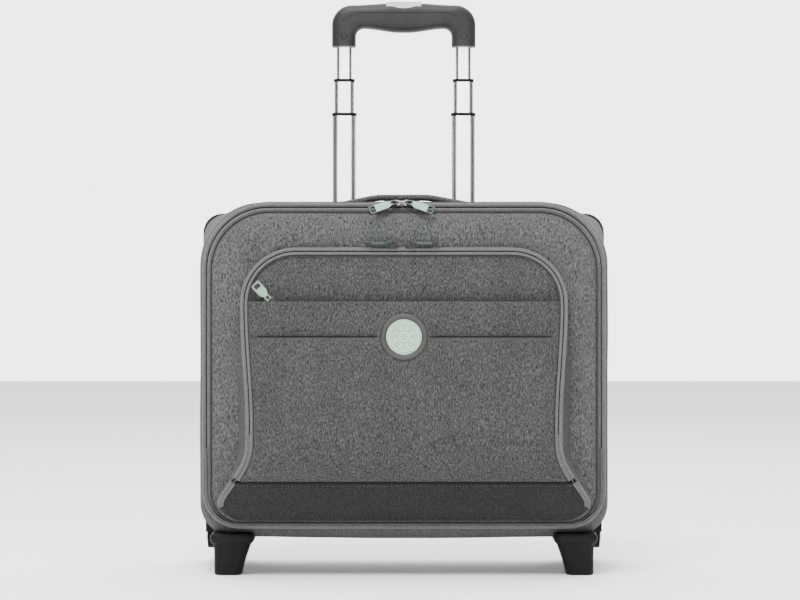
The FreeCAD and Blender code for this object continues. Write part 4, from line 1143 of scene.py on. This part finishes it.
def zip_slider_piece(name, matrix, ring_matrix, height):
    """A slider: two shaped wings on a neck, a bridge over the top and the ring that holds the pull."""
    length, width = 0.011, 0.008
    top = -0.0013
    wing = [(-length / 2, -width * 0.36, 0.0014), (-length * 0.12, -width / 2, 0.002),
            (length / 2, -width * 0.40, 0.0018)]
    shape = rounded(wing + [(u, -v, r) for u, v, r in reversed(wing)])
    pieces = []
    for level in (top - 0.0005, top - height + 0.0005):
        wings = plate("wing", [shape], 0.0010, SLIDER, 0.0003)
        pieces.append(moved(wings, Matrix.Translation((0, 0, level))))
    wedge = rounded([(-0.003, -0.0018, 0.001), (0.003, -0.0010, 0.0008), (0.003, 0.0010, 0.0008),
                     (-0.003, 0.0018, 0.001)])
    neck = plate("neck", [wedge], height - 0.0012, SLIDER, 0.0001)
    pieces.append(moved(neck, Matrix.Translation((0, 0, top - height / 2))))
    arch = [(-0.0036 * math.cos(math.pi * k / 12), 0.0, top - 0.0006 + 0.0015 * math.sin(math.pi * k / 12))
            for k in range(13)]
    pieces.append(tube("bridge", arch, 0.0006, SLIDER, 8))
    body = moved(join(name, pieces), matrix)
    hoop = [(u, 0.0, v) for u, v in circle(0.0016, 24)]
    ring = moved(tube("ring", hoop, 0.0005, SLIDER, 8, closed=True), ring_matrix)
    return join(name, [body, ring])


def zip_hardware():
    sets = [("main_left", MAIN_TILT, -1, MAIN_DROOP, 0.030, 0.0036),
            ("main_right", MAIN_TILT, 1, MAIN_DROOP, 0.030, 0.0036),
            ("pocket_left", 0.0, -1, 0.0, 0.030, 0.0036), ("pocket_right", 0.0, 1, 0.0, 0.030, 0.0036),
            ("slip", SLIP_TILT, -1, SLIP_DROOP, 0.023, 0.0026)]
    for name, tilt, side, droop, length, height in sets:
        eye = Vector(joint_of[f"{name}_pull_lift"]["pos_m"])
        turned = pull_frame(eye, tilt, side, droop)
        flat = Matrix.Translation(eye) @ Matrix.Rotation(tilt, 4, "X")
        slider = zip_slider_piece(f"{name}_slider_cast", flat, turned, height)
        # The main and pocket pulls take the darker copy of the pull metal: painted shade.
        pull = zip_pull(f"{name}_pull_cast", length, turned, PULL if name == "slip" else SHADED_PULL)
        dress(slider, f"{name}_slider", "slider_metal", f"{name}_zip_slider")
        dress(pull, f"{name}_pull", "pull_metal", f"{name}_zip_pull")


# ---- telescopic handle ----

grip_low, grip_high = limits("grip_front_shell")
rear_grip_high = limits("grip_rear_shell")[1]
GRIP_LEG, GRIP_BAR = 0.027, 0.029
GRIP_MIDDLE = grip_high.y
GRIP_HALF_DEPTH = (rear_grip_high.y - grip_low.y) / 2
GRIP_CORNER_STEPS, GRIP_BAR_STEPS = 16, 40
SCOOP_R, SCOOP_Z = 0.034, 0.6195  # the hollow round the button
PARTING = 0.00008                 # half the line between the two shells


def grip_rail(half, top, corner, leg, sag):
    """Half of the grip's outer or inner line (x, z), from the foot of a leg to the middle of the bar."""
    low = grip_low.z
    path = [(half, low + (top - corner - low) * k / leg) for k in range(leg)]
    for k in range(GRIP_CORNER_STEPS):
        angle = math.pi / 2 * k / GRIP_CORNER_STEPS
        path.append((half - corner + corner * math.cos(angle), top - corner + corner * math.sin(angle)))
    for k in range(GRIP_BAR_STEPS + 1):
        share = k / GRIP_BAR_STEPS
        path.append(((half - corner) * (1 - share), top + sag * ease(share * 1.1)))
    return path


def grip_shell(name, facing):
    """One moulded half of the grip: a soft section between its outer line and its sagging palm side."""
    half, top = grip_high.x, grip_high.z
    outer = grip_rail(half, top - 0.0012, 0.0225, 14, 0.0026)
    inner = grip_rail(half - GRIP_LEG, top - GRIP_BAR + 0.0014, 0.0088, 14, -0.0044)
    pairs = list(zip(outer, inner))
    pairs += [((-a[0], a[1]), (-b[0], b[1])) for a, b in reversed(pairs[:-1])]
    rings = []
    for number, ((ox, oz), (ix, iz)) in enumerate(pairs):
        ring = []
        for k in range(29):
            angle = math.pi * k / 28
            across = math.copysign(abs(math.cos(angle)) ** 0.76, math.cos(angle))
            deep = facing * math.sin(angle) ** 0.74
            x = (ox + ix) / 2 + (ox - ix) / 2 * across
            z = (oz + iz) / 2 + (oz - iz) / 2 * across
            dip = SCOOP_Z + SCOOP_R - math.sqrt(max(SCOOP_R ** 2 - x * x, 0.0)) if abs(x) < SCOOP_R else z
            ring.append((x, GRIP_MIDDLE + facing * PARTING + (GRIP_HALF_DEPTH - PARTING) * deep, min(z, dip)))
        ring = np.array(ring)
        if number == 0:
            rings.append(sole_ring(ring, (ox + ix) / 2))
        rings.append(ring)
    rings.append(sole_ring(rings[-1], -(outer[0][0] + inner[0][0]) / 2))
    skin = loft(name, rings, GRIP, closed=False, around=False)
    button_low, button_high = limits("release_button")
    play = 0.0005
    cut_window(skin, (button_low.x - play, button_low.y - play, button_low.z - 0.003),
               (button_high.x + play, button_high.y + play, 0.66))
    return smooth_by_angle(thickened(skin, 0.0024), 42)


def sole_ring(ring, middle_x):
    """The edge of the hole in a leg's foot, just outside the tube."""
    sole = ring.copy()
    sole[:, 0] = middle_x + (ring[:, 0] - middle_x) * 0.67
    sole[:, 1] = GRIP_MIDDLE + (ring[:, 1] - GRIP_MIDDLE) * 0.42
    return sole


def grip():
    """Two moulded shells that meet on the middle plane, with a scooped slot for the button."""
    for name, node, facing in (("grip_front", "grip_front_shell", -1), ("grip_rear", "grip_rear_shell", 1)):
        dress(grip_shell(name, facing), "handle_grip", "grip_plastic", node)
    front = grip_low.y + 0.0001
    level = grip_high.z - 0.0108
    half = 0.052
    line = smooth_path([(-half - 0.018, level - 0.0085, 0), (-half, level, 0.012), (half, level, 0.012),
                        (half + 0.013, level - 0.0078, 0)], 8)
    # A thin black line along the crease on the grip's front: painted shade in the groove.
    crease = tube("grip_crease", [(u, front, v) for u, v in line], 0.00022, BLACK, 6)
    dress(crease, "handle_grip", "grip_plastic")


TUBE_X = 0.0666  # the tubes' centres, left and right


def coil_spring():
    """The button's return spring as a real coil."""
    low, high = limits("button_spring")
    wire = 0.0005
    radius = (high.x - low.x) / 2 - wire
    turns, per_turn = 5, 28
    points = []
    for k in range(turns * per_turn + 1):
        angle = 2 * math.pi * k / per_turn
        share = k / (turns * per_turn)
        rise = ease((share - 0.06) / 0.88) * 0.35 + share * 0.65
        points.append((math.cos(angle) * radius, GRIP_MIDDLE + math.sin(angle) * radius,
                       low.z + wire + (high.z - low.z - 2 * wire) * rise))
    spring = tube("return_spring", points, wire, STEEL, 8)
    dress(spring, "handle_grip", "steel", "button_spring")
    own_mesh(spring)


def handle_metal():
    repaint(ALUMINIUM, "outer_tubes", "first_stage_tubes", "second_stage_tubes", "third_stage_tubes")
    for node, name, body in (("outer_collars", "outer_collar_mouldings", "case"),
                             ("first_stage_collars", "first_collar_mouldings", "handle_first"),
                             ("second_stage_collars", "second_collar_mouldings", "handle_second")):
        softened(node, name, body, "black_plastic", BLACK, 0.0004)
    repaint(BLACK, "first_stage_latches", "second_stage_latches", "third_stage_latches")
    repaint(STEEL, "push_rods", "push_yoke")
    softened("release_button", "button_cap", "button", "button_metal", BUTTON, 0.0010, 4)
    softened("grip_cup", "handle_well", "case", "black_plastic", BLACK, 0.0010)
    screws = []
    for side in (-1, 1):
        # A black disc round each screw head and a black cross on it: painted shade standing for the shaded
        # well and the cross recess.
        centre = Vector((side * TUBE_X, grip_low.y + 0.0003, grip_low.z + 0.0112))
        screws.append(drum("well", centre, ALONG_Y, 0.0034, 0.0008, 40, BLACK))
        head = drum("head", centre, ALONG_Y, 0.0027, 0.0014, 40, SCREW)
        screws.append(bevelled(head, 0.0003, 2, 50))
        for a, b in ((0.0016, 0.0003), (0.0003, 0.0016)):
            low, high = centre - Vector((a, 0.00075, b)), centre + Vector((a, 0.0001, b))
            screws.append(block("cross", low, high, BLACK))
    dress(join("grip_screw_heads", screws), "handle_grip", "steel", "grip_screws")


# ---- feet, wheels and base ----

def rectangle(half_w, half_d, radius):
    return rounded([(-half_w, -half_d, radius), (half_w, -half_d, radius), (half_w, half_d, radius),
                    (-half_w, half_d, radius)], 8)


def rounded_box(name, low, high, round_plan, material, rings):
    """A moulded block: rings are (height share, inset) from its foot to its top."""
    wide, deep = (high[0] - low[0]) / 2, (high[1] - low[1]) / 2
    middle = ((high[0] + low[0]) / 2, (high[1] + low[1]) / 2)
    loops = []
    for share, inset in rings:
        loop = rectangle(wide - inset, deep - inset, max(round_plan - inset * 0.5, 0.0004))
        z = low[2] + (high[2] - low[2]) * share
        loops.append(np.array([(middle[0] + u, middle[1] + v, z) for u, v in loop]))
    return loft(name, loops, material, around=False, caps=(True, True))


FOOT_LEVELS = [(0.0265, 0.0335, 0.188, 0.0), (0.0284, 0.0354, 0.188, 0.0007), (0.0292, 0.0362, 0.188, 0.0022),
               (0.0308, 0.0378, 0.1872, 0.0095), (0.0336, 0.0404, 0.1858, 0.0190),
               (0.0372, 0.0440, 0.1842, 0.0285), (0.0400, 0.0468, 0.1835, 0.0340),
               (0.0410, 0.0476, 0.1835, 0.0370)]  # width, depth, X and height of a front foot


def feet():
    """Front feet: a waisted leg with a rounded sole under a padded flange."""
    for side, name in ((-1, "left"), (1, "right")):
        low, high = limits(f"foot_{name}")
        middle_y = -0.042
        loops = []
        for wide, deep, x, z in FOOT_LEVELS:
            loop = rectangle(wide / 2, deep / 2, 0.0075)
            loops.append(np.array([(side * x + u, middle_y + v, z) for u, v in loop]))
        leg = loft("leg", loops, BLACK, around=False, caps=(True, True))
        flange = rounded_box("flange", (low.x, low.y, 0.0338), (high.x, high.y, 0.0452), 0.009, BLACK,
                             [(0.0, 0.0030), (0.10, 0.0014), (0.28, 0.0003), (0.5, 0.0), (0.72, 0.0003),
                              (0.90, 0.0014), (1.0, 0.0034)])
        foot = smooth_by_angle(join(f"front_foot_{name}", [leg, flange]), 50)
        dress(foot, "case", "black_plastic", f"foot_{name}")
    repaint(STEEL, "foot_screws")


def turned_about_x(name, rows, centre, *materials, sides=96):
    """A shape turned about the wheel's axle; rows are (across, radius)."""
    rings = [np.array([(centre[0] + across, centre[1] + u, centre[2] + v) for u, v in circle(radius, sides)])
             for across, radius in rows]
    return loft(name, rings, *materials)


def wheels():
    """Soft tyres with two grooves on pierced hubs."""
    half, radius, rim = 0.011, 0.029, 0.0226
    groove, depth = 0.0011, 0.0012
    shoulder = [(-half, rim), (-half, radius - 0.0042), (-half + 0.0009, radius - 0.0018),
                (-half + 0.0028, radius - 0.0003)]
    grooves = [(at + groove * share, radius - drop) for at in (-0.0036, 0.0036)
               for share, drop in ((-1.0, 0.0), (-0.7, depth), (0.7, depth), (1.0, 0.0))]
    rows = shoulder + grooves + [(-across, height) for across, height in reversed(shoulder)]
    for name in ("left", "right"):
        centre = Vector(joint_of[f"wheel_{name}_roll"]["pos_m"])
        tyre = smooth_by_angle(turned_about_x(f"tyre_{name}", rows, centre, RUBBER), 40)
        dress(tyre, f"wheel_{name}", "tyre_rubber", f"wheel_tyre_{name}")
        hub = softened(f"wheel_hub_{name}", f"hub_{name}", f"wheel_{name}", "black_plastic", HUB, 0.0004)
        turns = [math.pi * k / 3 for k in range(6)]
        spots = [centre + Vector((0, math.cos(turn), math.sin(turn))) * 0.0175 for turn in turns]
        cut_with(hub, *[drum("recess", spot, ALONG_X, 0.0021, 0.05, 24) for spot in spots])
        smooth_by_angle(hub, 38)
        repaint(STEEL, f"wheel_bearings_{name}")
        softened(f"wheel_housing_{name}", f"housing_{name}", "case", "black_plastic", BLACK, 0.0030, 4)
    repaint(STEEL, "wheel_axles")
    softened("base_bracket", "tube_base", "case", "black_plastic", BLACK, 0.0012)


# ---- carrying strap and inside ----

def carry_strap():
    """The padded carrying strap: two layers of cloth with stitched edges, bowed between its sewn ends."""
    low, high = limits("top_handle")
    half_length, half_width_y = high.x, (high.y - low.y) / 2
    middle_y = (high.y + low.y) / 2
    seat, crest = low.z + 0.0004, high.z - 0.0034

    def height(x):
        away = (half_length - abs(x)) / (half_length - 0.004)
        return seat + 0.0014 + (crest - seat - 0.0014) * ease((away - 0.12) / 0.62)

    rings = []
    for x in np.linspace(-half_length + 0.0003, half_length - 0.0003, 121):
        near_end = ease((half_length - abs(x)) / 0.022)
        thick = 0.0010 + 0.0023 * near_end
        section = []
        for k in range(28):
            angle = 2 * math.pi * k / 28
            c, s = math.cos(angle), math.sin(angle)
            across = math.copysign(abs(c) ** 0.35, c) * (half_width_y - 0.0006)
            up = math.copysign(abs(s) ** 0.75, s) * thick
            up += 0.00025 * ripple((x, across, 0), (40, 60, 1))
            section.append((x, middle_y + across, height(x) + up))
        rings.append(np.array(section))
    strap = loft("carry_strap", rings, FABRIC, around=False, caps=(True, True))
    dress(strap, "case", "webbing", "top_handle")
    edge, along = half_width_y - 0.0028, np.linspace(-half_length + 0.006, half_length - 0.006, 140)
    lines = [[(x, y) for x in along] for y in (-edge, edge)]
    lines += [[(side * (half_length - offset), y) for y in np.linspace(-0.011, 0.011, 20)]
              for side in (-1, 1) for offset in (0.006, 0.016)]
    thread = join("strap_stitches", [
        stitches("strap_stitch", [(x, middle_y + y, height(x) + 0.0026) for x, y in line]) for line in lines])
    dress(thread, "case", "webbing")


def divider_pad():
    """The padded wall in front of the laptop: two crowned faces, a bound edge and three sewn channels."""
    low, high = limits("laptop_divider")
    path = outline(high.x, low.z, high.z, 0.004, 0.030)
    rows, columns = 60, 80
    middle_y = (low.y + high.y) / 2
    parts = []
    for facing in (-1, 1):
        def depth(x, z):
            gap = edge_distance(path, x, z)
            puff = 0.0024 * ease(gap / 0.018) - quilted(x, (-0.098, 0.0, 0.098), 0.0022) * ease(gap / 0.03)
            return middle_y + facing * (0.0006 + puff)

        heights = [low.z + (high.z - low.z) * i / rows for i in range(rows + 1)]
        face = loft("divider_face", [row_across(path, z, columns, depth) for z in heights], LINING,
                    closed=False, around=False)
        parts.append(thickened(face, 0.0005))
    parts.append(cord("divider_binding", ring_at(path, 0.0006, middle_y), path, 0.0016, PIPING_AND_GROOVE_SHADE))
    pad = dress(join("divider_pad", parts), "case", "padding", "laptop_divider")


def inside():
    """Boards that stay as the frame has them, with their own materials."""
    repaint(LINING, "tube_cover_panel")
    repaint(BOARD, "floor_board")


# ---- floor, light and camera ----

def place_light(name, spot, target, size, power):
    lamp = bpy.data.lights.new(name, "AREA")
    lamp.shape = "RECTANGLE"
    lamp.size, lamp.size_y = size
    lamp.energy = power
    holder = bpy.data.objects.new(name, lamp)
    bpy.context.collection.objects.link(holder)
    holder.location = spot
    holder.rotation_euler = (Vector(target) - Vector(spot)).to_track_quat("-Z", "Y").to_euler()


def studio():
    """A plain pale floor, a backdrop brightest behind, and soft light from above, in front and behind."""
    reach = 6.0
    paper = moulded("floor_paper", (0.93, 0.93, 0.93), 0.9, 0.00002, 0.0, 40)
    corners = [(-reach, -reach, 0), (reach, -reach, 0), (reach, reach, 0), (-reach, reach, 0)]
    floor = from_faces("floor", corners, [(0, 1, 2, 3)], paper, smooth=False)
    world = bpy.data.worlds.new("studio")
    world.use_nodes = True
    tree = world.node_tree
    backdrop = tree.nodes["Background"]
    direction = tree.nodes.new("ShaderNodeTexCoord")
    split = tree.nodes.new("ShaderNodeSeparateXYZ")
    sideways = tree.nodes.new("ShaderNodeMath")
    sideways.operation = "ABSOLUTE"
    tree.links.new(direction.outputs["Generated"], split.inputs["Vector"])
    tree.links.new(split.outputs["X"], sideways.inputs[0])
    ranges = []
    for source, start, end, low, high in ((sideways.outputs["Value"], 0.50, 0.86, 1.0, WORLD_SIDE),
                                          (split.outputs["Y"], -0.25, 0.45, WORLD_FRONT, WORLD_BACK)):
        shade = tree.nodes.new("ShaderNodeMapRange")
        shade.interpolation_type = "SMOOTHSTEP"
        for socket, value in (("From Min", start), ("From Max", end), ("To Min", low), ("To Max", high)):
            shade.inputs[socket].default_value = value
        tree.links.new(source, shade.inputs["Value"])
        ranges.append(shade.outputs["Result"])
    product = tree.nodes.new("ShaderNodeMath")
    product.operation = "MULTIPLY"
    tree.links.new(ranges[0], product.inputs[0])
    tree.links.new(ranges[1], product.inputs[1])
    tree.links.new(product.outputs["Value"], backdrop.inputs["Strength"])
    backdrop.inputs["Color"].default_value = (1.0, 1.0, 1.0, 1)
    bpy.context.scene.world = world
    place_light("key", (-0.35, -1.15, 2.2), (0, -0.1, 0.38), (0.9, 0.7), 78)
    place_light("front", (0.0, -4.2, 1.0), (0, 0, 0.4), (3.4, 1.8), 92)
    place_light("top", (0.0, -0.3, 2.9), (0, 0.3, 0), (2.6, 2.2), 78)
    place_light("back", (0.3, 2.2, 1.9), (0, 0, 0.3), (2.0, 1.2), 16)


WORLD_FRONT, WORLD_BACK = 0.42, 4.2  # the backdrop behind is bright
WORLD_SIDE = 0.12  # and what is left of it at both sides


def camera():
    """Level, square on to the front, and a long way off."""
    lens = bpy.data.cameras.new("camera")
    lens.lens = 107.2
    lens.sensor_width = 36
    holder = bpy.data.objects.new("camera", lens)
    bpy.context.collection.objects.link(holder)
    holder.location = (-0.0042, -2.6, 0.2936)
    holder.rotation_euler = (math.radians(90), 0, 0)
    bpy.context.scene.camera = holder


# ---- put it together ----

for maker in (case_skin, rear_panel, mouth_bands, lid_skin, lid_web, pocket_body, pocket_bands, flap_panel,
              slip_pocket, badge, zip_hardware, grip, coil_spring, handle_metal, feet, wheels, carry_strap,
              divider_pad, inside, studio, camera):
    maker()
